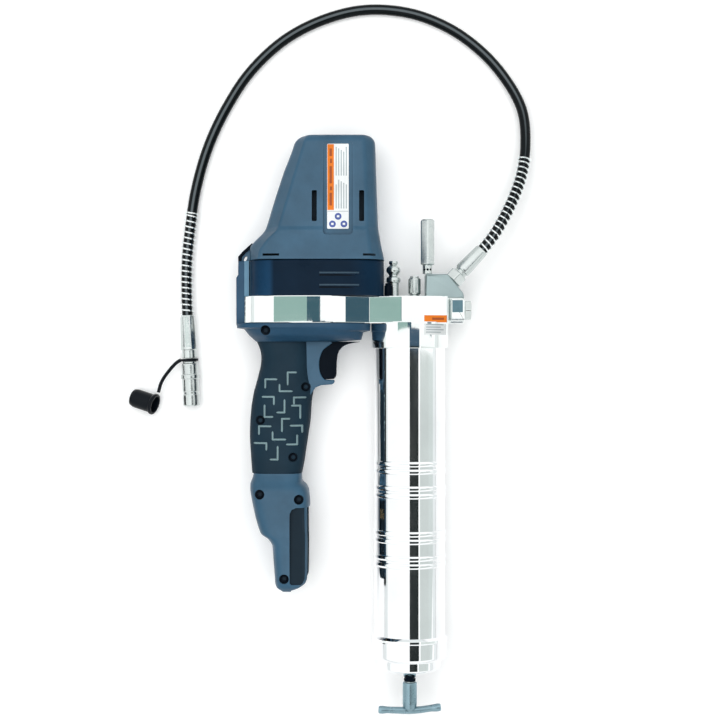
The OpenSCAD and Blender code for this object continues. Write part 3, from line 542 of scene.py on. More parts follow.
def guard(name, start, end, turns, node_name, closed):
    """A round wire wound about the hose between two lengths along it; one end closes up in a tight turn."""
    part = resample(catmull(route, 16), GUARD_STEP)[0][int(start / GUARD_STEP): int(end / GUARD_STEP) + 1]
    share = 1.0 - TIGHT_TURN / (end - start)
    where, wound = ([0, share, 1], [0, turns - 1, turns]) if closed == "end" else ([0, 1 - share, 1], [0, 1, turns])
    turned = np.linspace(0, turns, turns * 28 + 1)
    s = np.interp(turned, wound, where) * (len(part) - 1)
    core, side, up = (np.stack([np.interp(s, np.arange(len(part)), a[:, k]) for k in range(3)], 1)
                      for a in (part, *ring_frames(part)))
    angle = 2 * math.pi * turned[:, None]
    out = np.cos(angle) * side + np.sin(angle) * up
    wire = core + GUARD_RADIUS * out
    tangent = np.gradient(wire, axis=0)
    tangent /= np.linalg.norm(tangent, axis=1)[:, None]
    obj = add_object(name, [tube_data(wire, WIRE_RADIUS, 8, (out, np.cross(tangent, out)))], [WIRE])
    return stands_for(obj, "bright_steel", node_name)


guard_in = guard("guard_wire_inlet", 25.0, 111.5, 19, "inlet_guard", "end")
guard_out = guard("guard_wire_outlet", hose_length - 98.0, hose_length - 13.5, 19, "outlet_guard", "start")


def crimp(a, t):
    """Faint flats left on a ferrule by the crimping tool."""
    b = (a + math.pi / 8) % (math.pi / 4) - math.pi / 8
    return 1.0 - 0.6 * (1.0 - math.cos(math.pi / 8) / math.cos(b))


ferrule_in = stands_for(
    lathe("ferrule_inlet", [
        (4.4, 0.3), (5.4, 0.3), (5.6, 2), (6.7, 2.4), (6.8, 4), (6.4, 14), (5.9, 24.6), (5.5, 25.9), (4.4, 26)],
        EXIT, EXIT_DIR, STEEL, shape=crimp), "bright_steel", "inlet_ferrule")
ferrule_out = stands_for(
    lathe("ferrule_outlet", [
        (4.4, 0), (5.5, 0), (6.0, 1), (6.3, 8), (6.8, 26), (6.8, 28.4), (6.0, 29), (6.0, 35.6), (2.0, 35.6)],
        TAIL, TAIL_DIR, STEEL, shape=lambda a, t: crimp(a, t) if 2 < t < 27 else 1.0),
    "bright_steel", "coupler_ferrule")
coupler = stands_for(
    lathe("coupler_shell", [
        (4.4, 35.8), (4.6, 38), (5.7, 38.5), (5.7, 39.8), (6.4, 40), (6.9, 41), (6.9, 48.8), (7.8, 49.4),
        (7.8, 52.4), (6.9, 53), (6.9, 63), (6.3, 63.6), (6.3, 65.4), (6.9, 66), (6.9, 74.4), (6.2, 75.4),
        (4.7, 75.4), (4.7, 62), (0, 62),
    ], TAIL, TAIL_DIR, STEEL), "bright_steel", "coupler_sleeve", "coupler_body")

# Tether ring and strap, then the cap
tether_ring = lathe("tether_ring", [
    (6.15, 36.0), (7.0, 36.0), (7.3, 36.5), (7.3, 37.7), (7.0, 38.2), (6.15, 38.2), (6.15, 36.0)],
    TAIL, TAIL_DIR, RUBBER, radius=0.5)
tether_points = [(-188.5, -40, -29), (-193, -43, -28.5), (-199.5, -50.5, -27.5), (-204.5, -58.5, -26.5),
                 (-206.8, -66.8, -25.2)]
tether_path, tether_length = resample(catmull(tether_points, 16), 1.0)
tether = add_object("cap_strap", [tube_data(tether_path, 1.45, 16)], [RUBBER])
stands_for(tether, "black_rubber", "cap_tether")
CAP = np.array([-228.7, -70.9, -31.0])
CAP_TURN, CAP_LIFT = math.radians(72.5), math.radians(16)
CAP_DIR = np.array([math.sin(CAP_TURN) * math.cos(CAP_LIFT), -math.cos(CAP_TURN) * math.cos(CAP_LIFT),
                    math.sin(CAP_LIFT)])
cap = stands_for(
    lathe("dust_cap_body", [
        (0, -1), (3.0, -1), (6.8, 0), (7.7, 3), (7.7, 17.8), (8.8, 18.6), (8.8, 20.4), (8.4, 21), (6.9, 21),
        (6.7, 20), (6.7, 2.2), (0, 2.2)], CAP, CAP_DIR, RUBBER, radius=0.8),
    "black_rubber", "dust_cap")

tuple(world(route[0]))
tuple(world(tether_points[0]))
[tuple(p) for p in world(tether_path)]


# --- moulded bodies, lofted along y ---
SEAM = 0.12  # how far each half stops short of the mid plane


def at(y, table):
    """Value at y from a table of (y, value) rows."""
    return float(np.interp(y, *zip(*sorted(table))))


def smooth_at(y, table, reach=1.5):
    """Table value with its corners eased over a short reach."""
    return float(np.mean([at(y + d, table) for d in np.linspace(-reach, reach, 7)]))


def rim(y, top, r):
    """How far a rim of radius r has drawn in at y, near its top."""
    return 0.0 if y < top - r else r - math.sqrt(max(r * r - (y - top + r) ** 2, 0.0))


def arch(xl, xr, h, count, power_x, power_z, floor=SEAM):
    """Points of a squarish arch from xl to xr and h high, which stops at the floor."""
    mid, half = (xl + xr) / 2, (xr - xl) / 2
    out = []
    for k in range(count + 1):
        a = math.pi * (1 - k / count)
        c, s = math.cos(a), math.sin(a)
        out.append((mid + half * math.copysign(abs(c) ** power_x, c), max(h * abs(s) ** power_z, floor)))
    return out


def loft_half(stations, section):
    """Closed half solid: section(y) gives (x, z) points from the left seam to the right seam."""
    rows = [section(y) for y in stations]
    return [(x, y, z) for y, row in zip(stations, rows) for x, z in row], tube_faces(len(rows), len(rows[0]))


def mirrored(part):
    verts, faces, *index = part
    return [(x, y, -z) for x, y, z in verts], [tuple(reversed(f)) for f in faces], *index


def both(part):
    """The part and its reflection in the mid plane."""
    return [part, mirrored(part)]


def motor_section(y):
    ease = rim(y, 139.0, 6.5)
    xl = smooth_at(y, [(39.6, -128.4), (51, -128.4), (56, -123.8), (61, -118.4), (65, -115.8),
                       (73.3, -113.2), (89.5, -108.4), (112, -101), (122, -97), (130, -94), (139, -91.5)]) + ease
    xr = smooth_at(y, [(39.6, -20.9), (50.6, -23.3), (65, -25.8), (98, -27), (130, -28), (139, -28.6)]) - ease
    fl = at(y, [(39.6, -121), (47.4, -119), (56, -112.5), (62, -106), (65, -104.5), (69, -103.5), (131, -85),
                (139, -82.5)])
    fr = at(y, [(39.6, -31), (65, -34.5), (139, -37)])
    h = at(y, [(39.6, 36.2), (60, 34.4), (62.5, 34.2), (65.5, 32.8), (139, 29.5)]) - ease
    zl = at(y, [(39.6, 16), (65, 15), (139, 14)]) - ease * 0.4
    zr = at(y, [(39.6, 24), (139, 20)]) - ease * 0.4
    fl, fr = max(fl, xl + 4), min(fr, xr - 2.5)
    pts = round_corners(
        [(xl, SEAM), (xl, zl), (fl + ease * 0.3, h - 1.0), (fl + 16 + ease * 0.2, h), (fr - 6, h), (fr, h - 0.6),
         (xr, zr), (xr, SEAM)], [5, 2.2, 12, 6, 2.5, 6])
    halfway = [(a + b) / 2 for a, b in zip(pts, pts[1:])]
    return [p for pair in zip(pts, halfway) for p in pair] + [pts[-1]]


motor_stations = list(np.linspace(39.6, 61, 16)) + list(np.linspace(62, 67, 9)) + list(np.linspace(68.5, 131, 44)) \
    + list(139.0 - 6.5 + 6.5 * np.sin(np.linspace(0.0, math.pi / 2, 12)))
motor = loft_half(motor_stations, motor_section)


def flange_section(y):
    """The funnel from the band down to the grip."""
    xl = at(y, [(-11.1, -139.6), (-14.4, -139.4), (-15.2, -133.8), (-20.6, -129.4), (-25.3, -124.2), (-25.5, -121.6),
                (-34, -117.5)])
    xr = at(y, [(-11.1, -31.8), (-16.4, -32.2), (-17.6, -37.6), (-24.6, -39.4), (-25.3, -60), (-25.5, -82), (-34, -82)])
    h = at(y, [(-11.1, 36.8), (-14.5, 36.4), (-20.6, 31), (-25.3, 22), (-25.5, 13), (-34, 10)])
    power = 2 / at(y, [(-11.1, 3.2), (-34, 3.0)])
    return arch(xl, xr, h, 60, power, power)


flange = loft_half([-11.15, -12, -13.2, -14.4, -15.2, -16.4, -17.6, -19, -20.6, -22.2, -23.8, -25.3, -25.5,
                    -26, -28, -30, -32, -34], flange_section)

GRIP_LEFT = [(-24, -124.4), (-28, -122.4), (-32, -120.8), (-38, -119.9), (-45, -120.5), (-55, -123.1), (-66, -126.2),
             (-76, -127.9), (-89, -129.1), (-101, -129.4), (-113, -128.8), (-125, -127.9), (-138, -126.9)]
GRIP_RIGHT = [(-24, -81.3), (-32, -81.3), (-45, -81.2), (-52, -80.6), (-59, -79), (-64, -77.4), (-68, -78.4),
              (-73, -79.3), (-81, -79.7), (-89, -80.2), (-98, -81.6), (-109, -83.3), (-121, -85), (-132, -87.2),
              (-138, -88)]


def grip_section(grow, depth):
    def section(y):
        h = smooth_at(y, [(-24, depth - 0.5), (-60, depth), (-95, depth + 0.8), (-138, depth - 0.6)], 4)
        return arch(smooth_at(y, GRIP_LEFT, 3) - grow, smooth_at(y, GRIP_RIGHT, 3) + grow, h, 72, 0.72, 0.8)
    return section


core = loft_half(list(np.linspace(-24, -138, 40)), grip_section(-1.2, 16.2))
rubber = loft_half([-25.3, -25.5, -26] + list(np.linspace(-27, -131, 66)), grip_section(0.0, 18.3))

FOOT_LEFT = [(-131, -126.0), (-134, -126.6), (-139, -128.6), (-144, -128.7), (-153.5, -127.1), (-165, -124.6),
             (-174, -122.1), (-179.5, -120), (-183.2, -114), (-188, -110.8), (-198, -110), (-219, -108.5),
             (-223, -107.2), (-225.2, -102.5)]
FOOT_RIGHT = [(-131, -87.3), (-138, -87.1), (-140.8, -83.6), (-145, -81.6), (-153.5, -80.8), (-214, -81.1),
              (-218.5, -82.6), (-222.5, -88), (-225.2, -94.5)]


def foot_section(y):
    h = smooth_at(y, [(-131, 19), (-137, 21.5), (-143, 25), (-150, 26.6), (-180, 26.8), (-190, 26.2), (-216, 25),
                      (-222, 22.5), (-225.2, 17)])
    return arch(smooth_at(y, FOOT_LEFT, 1.0), smooth_at(y, FOOT_RIGHT, 1.0), h, 60, 0.42, 0.55)


foot = loft_half([y for start, end, count in ((-131, -146, 16), (-148, -176, 15), (-177, -190, 14), (-193, -214, 8),
                                              (-215.5, -225.2, 11)) for y in np.linspace(start, end, count)],
                 foot_section)


def outward(outline):
    """A closed outline's points and the outward normal at each."""
    p = np.array(outline, float)
    ahead = np.roll(p, -1, 0)
    t = ahead - np.roll(p, 1, 0)
    normal = np.stack([t[:, 1], -t[:, 0]], 1)
    normal /= np.maximum(np.linalg.norm(normal, axis=1)[:, None], 1e-9)
    area = np.sum(p[:, 0] * ahead[:, 1] - ahead[:, 0] * p[:, 1])
    return p, -normal if area < 0 else normal


def pillow_data(outline, z_low, z_high, inset, steps=5):
    """Prism whose upper edge is rounded: the outline shrinks along its own normals as it nears the top."""
    p, normal = outward(outline)
    rows = [(z_low, p)]
    for i in range(steps + 1):
        a = math.pi / 2 * i / steps
        rows.append((z_high - inset + inset * math.sin(a), p - normal * inset * (1 - math.cos(a))))
    return [(x, y, z) for z, row in rows for x, y in row], tube_faces(len(rows), len(p))


BOW_INNER = [(-62.5, -26.4), (-69.7, -31.9), (-72.2, -37.5), (-73.1, -43), (-72.5, -49.3), (-70.7, -53.6),
             (-67.9, -56.0), (-61.7, -56.1)]
bow_outline = [tuple(q) for q in catmull(BOW_INNER, 3)] + [
    (-60.7, -57.3), (-61.4, -58.8), (-62.9, -59.8), (-67, -60.1), (-71.6, -60.4), (-76.4, -62.4), (-80, -68),
    (-86, -68), (-86, -23.6), (-65, -23.6)]
bow = pillow_data(bow_outline, SEAM, 10.2, 0.8)
spine_outline = [(-138.2, 39.4), (-129.4, 39.4), (-129.4, -12), (-139.8, -12), (-139.9, 26), (-138.4, 28.4)]
spine = pillow_data(spine_outline, SEAM, 9.0, 0.9)
ledge = prism_data([(-133.2, 39.3), (-129.4, 39.3), (-129.4, -10), (-133.2, -10)], SEAM, 10.4)

SCREW_HOLE_RADIUS, SCREW_DEPTH = 3.9, 4.2
SCREWS = [(-83.7, -61.6), (-120.1, -88.3), (-93.8, -117.9), (-120.1, -147), (-88.9, -151), (-100.7, -214.2),
          (-114.9, -16.6)]


def height_at(tree, x, y):
    """Height of the surface over a point, or 5 mm where a rib overhangs the edge."""
    hit = tree.ray_cast(Vector((x, y, 100.0)), Vector((0, 0, -1)))[0]
    return 5.0 if hit is None else hit.z


def tree_of(*parts):
    verts, faces, _ = merge(parts)
    return BVHTree.FromPolygons([tuple(v) for v in verts], faces)


skin = tree_of(motor, flange, rubber, foot, bow)


def build_half(side, tag, screws):
    """Shell and rubber of one half, with a counterbore for each of its screws."""
    flip = (lambda part: part) if side > 0 else mirrored
    # The flange and spine take the painted shade copy of the shell colour, and the ledge the painted highlight copy.
    parts = [(*motor, 0), (*flange, 3), (*spine, 3), (*ledge, 2), (*core, 0), (*bow, 0), (*foot, 0)]
    shell = add_object("shell_moulding_" + tag, [flip(part) for part in parts],
                       [SHELL, SHELL_RECESS_SHADE, SHELL_PAINTED_HIGHLIGHT, SHELL_PAINTED_SHADE])
    # Battery slot's side panel, trigger pocket, two long slots and two short ones
    panel = [(-84, -157.5), (-91, -157.5), (-94.5, -159), (-96.2, -162.5), (-96.2, -217.5), (-95, -219), (-84, -219)]
    pocket = flip(prism_data([(-92, -25.2), (-30, -25.2), (-30, -55.9), (-92, -55.9)], -2, 8.3))
    cutters = [prism_data(rounded_rect(x - 2, 69.5, x + 2, 94, 0.9), 20, 45) for x in (-76.4, -39.0)]
    cutters += [box_data((x0, 42, z0), (x1, 43.8, 45)) for x0, x1, z0 in ((-117, -104, 24.0), (-38, -28, 31.0))]
    for x, y in screws:
        z = height_at(skin, x, y)
        cutters.append(cylinder_data(x, y, z - SCREW_DEPTH, z + 12, SCREW_HOLE_RADIUS))
    # The panel, and the battery slot itself
    cutters += [prism_data(panel, 22.8, 40), box_data((-95.5, -240, -2), (-70, -157.5, 19))]
    for i in range(4):  # the vents on the motor's left flank
        x, y = -100.4 + 1.35 * i, 116.5 + 2.7 * i
        cutters.append(box_data((x - 3, y, -1), (x + 2.0, y + 1.2, 13)))
    # Every cut's walls take the near black painted shade.
    cut(shell, [flip(cutter) for cutter in cutters] + [pocket], SHELL_RECESS_SHADE)
    # A shallow recess for the label, in the shell's own colour
    cut(shell, [flip(prism_data(rounded_rect(-69.5, 58.7, -46, 133, 3.0), 29.4, 45))], SHELL)
    stands_for(shell, "shell_blue", "shell_" + tag)

    cover = add_object("grip_cover_" + tag, [flip(rubber)], [GRIP])
    cut(cover, [pocket] + [cylinder_data(x, y, height_at(skin, x, y) - 3.6, 40, SCREW_HOLE_RADIUS)
                           for x, y in screws[:3]])
    stands_for(cover, "grip_rubber", "grip_rubber_" + tag)


build_half(1, "right", SCREWS)
build_half(-1, "left", [])
SCREW_HEAD = fillet([(0, -1.2), (3.3, -1.2), (3.3, 1.0), (2.9, 1.5), (1.7, 1.5), (1.7, -0.4), (0, -0.4)], 0.25)
heads = [lathe_data(SCREW_HEAD, (x, y, height_at(skin, x, y) - 3.9), (0, 0, 1), 36) for x, y in SCREWS]
stands_for(add_object("shell_screw_heads", heads, [BLACK]), "bright_steel", "shell_screws")

# Raised ribs on the rubber: corner x, corner y, arm along x, arm along y
RIBS = [(-116, -55.5, 9, -6.5), (-98, -50, 6.5, -9.5), (-104.5, -65, 9.7, 5), (-109, -69.5, -9, -5.7),
        (-93, -70, 9, -5), (-100.5, -82, -5.7, 9.7), (-88, -76.5, -6.5, -9.8), (-116.5, -85.5, 6.3, 9),
        (-102.5, -87, 5.7, -9.8), (-86.5, -92.5, -9, -5), (-121, -93, 9.4, -6), (-110, -103.5, 10, 5.7),
        (-115, -106.5, -9.7, -5), (-90.5, -107.5, -8, 7), (-106, -119.5, -5.6, 10)]
rubber_tree = tree_of(rubber)


def rib_strip(x0, y0, x1, y1, width=1.6, lift=0.75):
    """A rounded bar laid on the rubber between two points."""
    n = 14
    a, b = np.array([x0, y0]), np.array([x1, y1])
    length = np.linalg.norm(b - a)
    d = (b - a) / length
    s = np.array([-d[1], d[0]])
    cross = [(-1.0, -0.35), (-0.95, 0.45), (-0.6, 0.9), (0.0, 1.0), (0.6, 0.9), (0.95, 0.45), (1.0, -0.35)]
    verts = []
    for t in np.arange(n) / (n - 1):
        p = a - d * width * 0.5 + (b - a + d * width) * t
        end = min(1.0, min(t, 1 - t) * length / (width * 0.5) + 0.35)
        for c, h in cross:
            x, y = p + s * (c * width * 0.5 * end)
            verts.append((x, y, height_at(rubber_tree, x, y) + h * lift * (end if h > 0 else 1)))
    return verts, tube_faces(n, len(cross))


strips = [rib_strip(cx, cy, x, y) for cx, cy, ax, ay in RIBS for x, y in ((cx + ax, cy), (cx, cy + ay))]
for tag, bars in (("right", strips), ("left", [mirrored(strip) for strip in strips])):
    stands_for(add_object("grip_rib_bars_" + tag, bars, [RIB]), "rib_grey", "grip_ribs_" + tag)

# --- gear case ---
def case_section(y):
    ease = rim(y, 39.2, 1.2)
    return arch(-129.0 + ease * 0.3, -21.0 - ease * 0.3, 35.8 - ease, 96, 0.5, 0.62, 0.0)


cv, cf = loft_half([11.0, 12, 18, 25, 32, 38.0] + list(38.0 + 1.2 * np.sin(np.linspace(0.2, math.pi / 2, 6))),
                   case_section)
case = cv, [face for face in cf if any(cv[i][2] > 1e-6 for i in face)]  # open at the mid plane
case_tree = tree_of(case)
case_parts = both(case)
for y in (18.8, 28.4):
    heights = [height_at(case_tree, x, y) for x in np.linspace(-72.5, -40.8, 23)]
    # The raised bar, a painted highlight line on it and a painted shadow line beside it
    for x0, x1, section, mat in (
            (-72.5, -40.8, [(-1.1, -0.6), (-0.8, 0.6), (0.8, 0.6), (1.1, -0.6)], 0),
            (-72.3, -41.0, [(-0.3, -0.4), (-0.3, 0.68), (0.95, 0.65), (0.95, -0.4)], 1),
            (-72.3, -41.0, [(-2.2, -0.4), (-2.2, 0.03), (-1.05, 0.0), (-1.05, -0.4)], 2)):
        verts = [(x, y + dy, z + dz) for x, z in zip(np.linspace(x0, x1, 23), heights) for dy, dz in section]
        case_parts += both((verts, tube_faces(23, 4), mat))
stands_for(add_object("gear_case_body", case_parts, [CASE, CASE_RIB_HIGHLIGHT, BLACK]), "case_dark", "gear_cover")

# --- pump head ---
# The slope that carries the label falls from the crest to the nose, as (x, z)
BAND_CREST, BAND_NOSE = (-7.7, 29.2), (29.6, 21.2)


def band_half():
    """Upper half of the band's plan, from the rear to the nose side of the barrel collar."""
    rear = catmull([(-135, 0), (-134.6, 8), (-132.6, 16), (-127.5, 24), (-119, 30.2), (-107, 34.6), (-94, 36.8),
                    (-80, 37.6), (-67, 36.9)], 6)
    slopes = round_corners([(-67, 36.9), (-59, 34.9), (-52.8, 32.3), (-32.7, 21.3), BAND_CREST, BAND_NOSE,
                            (31.8, 12.3), (42.2, 12.1), (43, 11.5), (43, 0)], [7, 5, 0.3, 1.2, 1.2, 0.8, 0.6, 0.4])
    return [*rear, *slopes[1:]]


upper = band_half()
plan = upper + [(x, -z) for x, z in reversed(upper[1:-1])]


def edged_prism(outline, low, high, r=0.9, steps=4):
    """Prism along y with both rims rounded."""
    p, normal = outward(outline)
    turn = [math.pi / 2 * i / steps for i in range(steps + 1)]
    rows = [(low + r - r * math.cos(a), p - normal * r * (1 - math.sin(a))) for a in turn]
    rows += [(high - r + r * math.sin(a), p - normal * r * (1 - math.cos(a))) for a in turn]
    return [(x, y, z) for y, row in rows for x, z in row], tube_faces(len(rows), len(p))


band = edged_prism(plan, -10.9, 10.9)
collar = lathe_data(fillet([(28.6, -12), (28.6, -30.8), (31.2, -30.8), (31.2, -9.5), (20, -9.5)], 0.7),
                    CENTRE, ALONG, 160)
block = pillow_data(round_corners([(12.4, 9.5), (12.4, 28.9), (30.2, 28.9), (42.9, 13.2), (43, 9.5)], [1.2, 1.6, 2.5]),
                    0, 13, 1.6)
head = add_object("pump_head_casting", [band, collar, *both((*block, 1))], [POLISHED, SATIN], angle=15)
stands_for(head, "polished_aluminium", "pump_head")
face_frame = pillow_data(rounded_rect(32.2, -8.8, 43.8, 9.4, 0.8), 0, 14.2, 1.0, 4)
inset = (*prism_data(rounded_rect(33.6, -1.9, 42.1, 7.9, 0.4), 14.1, 14.26), 1)
stands_for(add_object("outlet_end_face", both(face_frame) + both(inset), [POLISHED, INSET]),
           "polished_aluminium", "pump_head")

# Head fittings
relief = lathe("relief_valve_body", [
    (0, 29.4), (4.0, 29.4), (4.0, 36.6), (5.2, 36.8), (5.5, 37.6), (5.5, 72.4), (4.6, 73.8), (0, 74.1)],
    (14.3, 0, 0), ALONG, STEEL, shape=hex_between(37.2, 73.2))
# Three small holes across its neck, their walls black as painted shade
cut(relief, [prism_data([(x + rx * math.cos(k * math.pi / 8), 33 + ry * math.sin(k * math.pi / 8))
                         for k in range(16)], z, 8)
             for x, rx, ry, z in ((14.3, 1.0, 1.0, 1.5), (11.9, 0.8, 0.9, 1.0), (16.7, 0.8, 0.9, 1.0))], BLACK)
stands_for(relief, "bright_steel", "relief_valve")
stands_for(lathe("bleeder_knob", [
    (0, 10.5), (3.6, 10.5), (3.8, 12.6), (4.8, 13.2), (4.9, 14), (4.9, 25.2), (4.3, 26.2), (3.8, 26.6), (3.6, 27.6),
    (0, 28)], (3.8, 0, 0), ALONG, STEEL, "bleeder", 0.3, 120,
    shape=lambda a, t: 1.0 + (0.02 * math.cos(30 * a) if 14 < t < 25 else 0.0)), "bright_steel", "bleeder_valve")
stands_for(lathe("loader_nipple", [
    (0, 10.6), (4.5, 10.6), (4.5, 22.2), (5.6, 22.7), (5.75, 24), (5.7, 26.4), (4.2, 27.2), (3.4, 28.4), (4.4, 29.6),
    (5.6, 31.2), (5.8, 32.8), (5.3, 34.6), (3.4, 36.2), (2.8, 37), (3.6, 37.5), (3.75, 38.4), (3.6, 40), (1.6, 40),
    (1.5, 38), (0, 38)], (-13.2, 0, 0), ALONG, STEEL, radius=0.6), "brass", "loader_fitting")
stands_for(lathe("vent_plug_body", [
    (0, 10.6), (3.3, 10.6), (3.3, 19.4), (2.6, 20), (2.4, 21.6), (0, 22)], (-17.5, 0, 9), ALONG, BLACK, radius=0.5),
    "black_plastic", "vent_plug")
stands_for(lathe("hose_adapter_nut", [
    (0, -9), (6.6, -9), (7.1, -8.2), (7.1, -1.2), (6.4, -0.5), (5.6, -0.3), (5.5, 0.6), (0, 0.6)],
    EXIT, EXIT_DIR, STEEL, radius=0.3, shape=hex_between(-8.4, -0.9)), "bright_steel", "hose_adapter")
stands_for(lathe("outlet_plug_body", [
    (0, 42.6), (7.8, 42.6), (7.9, 43.9), (7.0, 44), (7.6, 44.6), (7.6, 49), (6.8, 49.6), (3.2, 49.6), (3.0, 47),
    (0, 47)], CENTRE, ACROSS, STEEL, radius=0.3, shape=hex_between(44.3, 49.3)), "bright_steel", "outlet_plug")

# --- barrel ---
BARREL_RADIUS, BEAD_HEIGHT, BEAD_REACH = 28.5, 0.95, 2.1
profile = [(27.3, -13), (BARREL_RADIUS, -13)]
for y in (-126.0, -145.4, -181.5, -201.0):  # two raised beads about each of these
    for bead in (y + 3.0, y - 3.0):
        for k in range(9):
            a = math.pi * k / 8
            profile.append((BARREL_RADIUS + BEAD_HEIGHT * math.sin(a), bead + BEAD_REACH * math.cos(a)))
profile += [(BARREL_RADIUS, -261.4), (29.6, -262.4), (30.6, -263.4), (30.7, -265.0), (27.3, -265.0), (27.3, -13)]
stands_for(add_object("barrel_tube", [lathe_data(profile, CENTRE, ALONG, 192)], [CHROME], "barrel"),
           "chrome", "barrel")
stands_for(lathe("barrel_foot_cap", [
    (27.1, -257), (27.1, -265.1), (29.6, -265.1), (30.0, -266), (30.0, -278.6), (29.0, -280.4), (25.8, -280.6),
    (25.2, -281.4), (25.2, -288.2), (23.6, -289.4), (7.0, -296.2), (5.6, -297.0), (4.6, -297.0), (4.6, -285),
    (22, -285), (23, -258), (27.1, -257)],
    CENTRE, ALONG, CHROME, "barrel", 0.8, 160), "chrome", "barrel_end_cap")
stands_for(lathe("rod_bush_body", [
    (3.6, -292), (4.5, -292), (4.5, -297.1), (4.8, -297.2), (4.8, -299.6), (4.4, -300.1), (3.6, -300.1), (3.6, -292)],
    CENTRE, ALONG, BLACK, "barrel", 0.4), "black_plastic", "rod_bush")
handle_line = catmull([(-25.4, -323.2, 0), (-18, -323.4, 0), (-9, -323.7, 0), (0, -323.8, 0), (8, -323.3, 0),
                       (17, -322.1, 0), (25.2, -321.1, 0)], 8)
radius = np.interp(np.linspace(0, 1, len(handle_line)), [0, 0.025, 0.08, 0.16, 0.5, 0.84, 0.92, 0.975, 1],
                   [2.2, 3.1, 3.25, 2.7, 2.9, 2.7, 3.25, 3.1, 2.2])
sleeve = lathe_data(fillet([(3.56, -300.8), (5.4, -300.8), (5.8, -301.6), (5.8, -318), (5.2, -322), (3, -324)], 0.5),
                    CENTRE, ALONG, 64)
stands_for(add_object("t_handle_bar", [tube_data(handle_line, radius, 24), sleeve], [ZINC], "rod"),
           "zinc_plate", "t_handle")

# --- trigger ---
trigger_face = [(-40, -25.4), (-46.5, -26.4), (-52.5, -28.2), (-56.7, -31.9), (-58.6, -36.9), (-59.2, -45.5),
                (-59.5, -52.6), (-61.4, -55.3)]
trigger_outline = [tuple(q) for q in catmull(trigger_face, 3)] + [
    (-65, -55.6), (-76, -55.6), (-76, -25.4), (-58, -25.3)]
stands_for(prism("trigger_lever", trigger_outline, -7.8, 7.8, BLACK, "trigger", 1.6, segments=4),
           "black_plastic", "trigger")
plate = [(-138.2, 39.8), (-138.2, 43), (-134.4, 47.2), (-129.2, 52), (-129, 39.8)]
strap = add_object("strap_anchor", [prism_data(plate, -4.5, 4.5)], [SHELL])
eye = [(-132.9 + 1.5 * math.cos(k * math.pi / 12) + 0.55 * math.sin(k * math.pi / 12),
        41.7 + 2.1 * math.sin(k * math.pi / 12)) for k in range(24)]
cut(strap, [prism_data(eye, -9, 9)], SHELL)
stands_for(bevel(strap, 0.5), "black_plastic", "strap_bar")
bar = [(-138.4, 37.2), (-138.5, 43.2), (-134.8, 47.4), (-127.3, 54.2), (-125.8, 52.2), (-133.0, 45.6), (-135.4, 43.0),
       (-135.8, 40.4), (-136.2, 37.4)]
stands_for(prism("strap_bar_body", bar, -6.8, 6.8, BLACK, width=0.5), "black_plastic", "strap_bar")


# --- labels ---
def printed_label():
    """White film with an orange strip, grey lines of print as bars and three round signs; no lettering."""
    base = 30.35  # top of the white film
    print_top, mark_top = base + 0.06, base + 0.12
    parts = [prism_data(rounded_rect(-66.3, 63.6, -49.2, 130.8, 0.8), base - 0.3, base)]

    def patch(x0, y0, x1, y1, mat, r=0.15, top=print_top):
        parts.append((*prism_data(rounded_rect(x0, y0, x1, y1, r, 3), base - 0.1, top), mat))
    patch(-66.0, 78.4, -60.9, 130.4, 1)
    for k, (low, high) in enumerate([(82, 92), (94, 97), (99.5, 113), (115.5, 119), (121, 127)]):
        patch(-64.4 + 0.4 * (k % 2), low, -62.4, high, 4, 0.1, mark_top)
    for k in range(5):
        for j in range(2):
            x, y = -59.6 + 2.0 * k, 79.6 + 26 * j
            patch(x, y, x + 0.95, y + 19 + 5 * ((k * 7 + j * 3) % 4) / 4, 2, 0.05)
    patch(-65.8, 77.2, -49.6, 77.7, 2, 0.05)
    for cx, cy in ((-57.6, 73.4), (-62.1, 67.4), (-53.0, 67.4)):
        parts.append((*cylinder_data(cx, cy, base - 0.1, print_top, 2.7, 28), 3))
        patch(cx - 1.0, cy - 0.8, cx + 1.0, cy + 0.9, 0, 0.3, mark_top)
    return add_object("info_label_film", parts,
                      [LABEL_WHITE, LABEL_ORANGE, LABEL_GREY, LABEL_BLUE, LABEL_BROWN], angle=20)


stands_for(printed_label(), "label", "info_label")


def curved_label():
    """The head's label: white on the round collar, orange on the band's slope."""
    n = 16
    parts = []

    def patch(x0, y0, x1, y1, mat, height):
        xs = np.linspace(x0, x1, n)
        verts = [(x, y, height(x)) for y in (y0, y1) for x in xs]
        parts.append((verts, [(i, i + 1, n + i + 1, n + i) for i in range(n - 1)], mat))

    def collar_at(r):
        return lambda x: math.sqrt(max(r * r - x * x, 0))

    def slope_at(lift):
        return lambda x: float(np.interp(x, *zip(BAND_CREST, BAND_NOSE))) + lift
    patch(10.7, -20, 28.8, -11.2, 0, collar_at(31.3))
    patch(10.7, -10.2, 28.8, -4.5, 1, slope_at(0.1))
    for k in range(4):
        patch(12.0, -12.4 - 2.0 * k, 26.5 - 2.5 * (k % 2), -11.6 - 2.0 * k, 2, collar_at(31.36))
    patch(17, -8.2, 26.5, -6.4, 3, slope_at(0.16))
    return add_object("head_label_film", parts, [LABEL_WHITE, LABEL_ORANGE, LABEL_GREY, LABEL_BROWN])


stands_for(curved_label(), "label", "head_label")


# --- stage ---
def level_sheet(name, low, high, height, material):
    """A level rectangle of the studio, given by two corners in metres."""
    mesh = bpy.data.meshes.new(name)
    mesh.from_pydata([(low[0], low[1], 0), (high[0], low[1], 0), (high[0], high[1], 0), (low[0], high[1], 0)],
                     [], [(0, 1, 2, 3)])
    mesh.materials.append(material)
    obj = link(name, mesh)
    obj.location = (0, 0, height)
    return obj


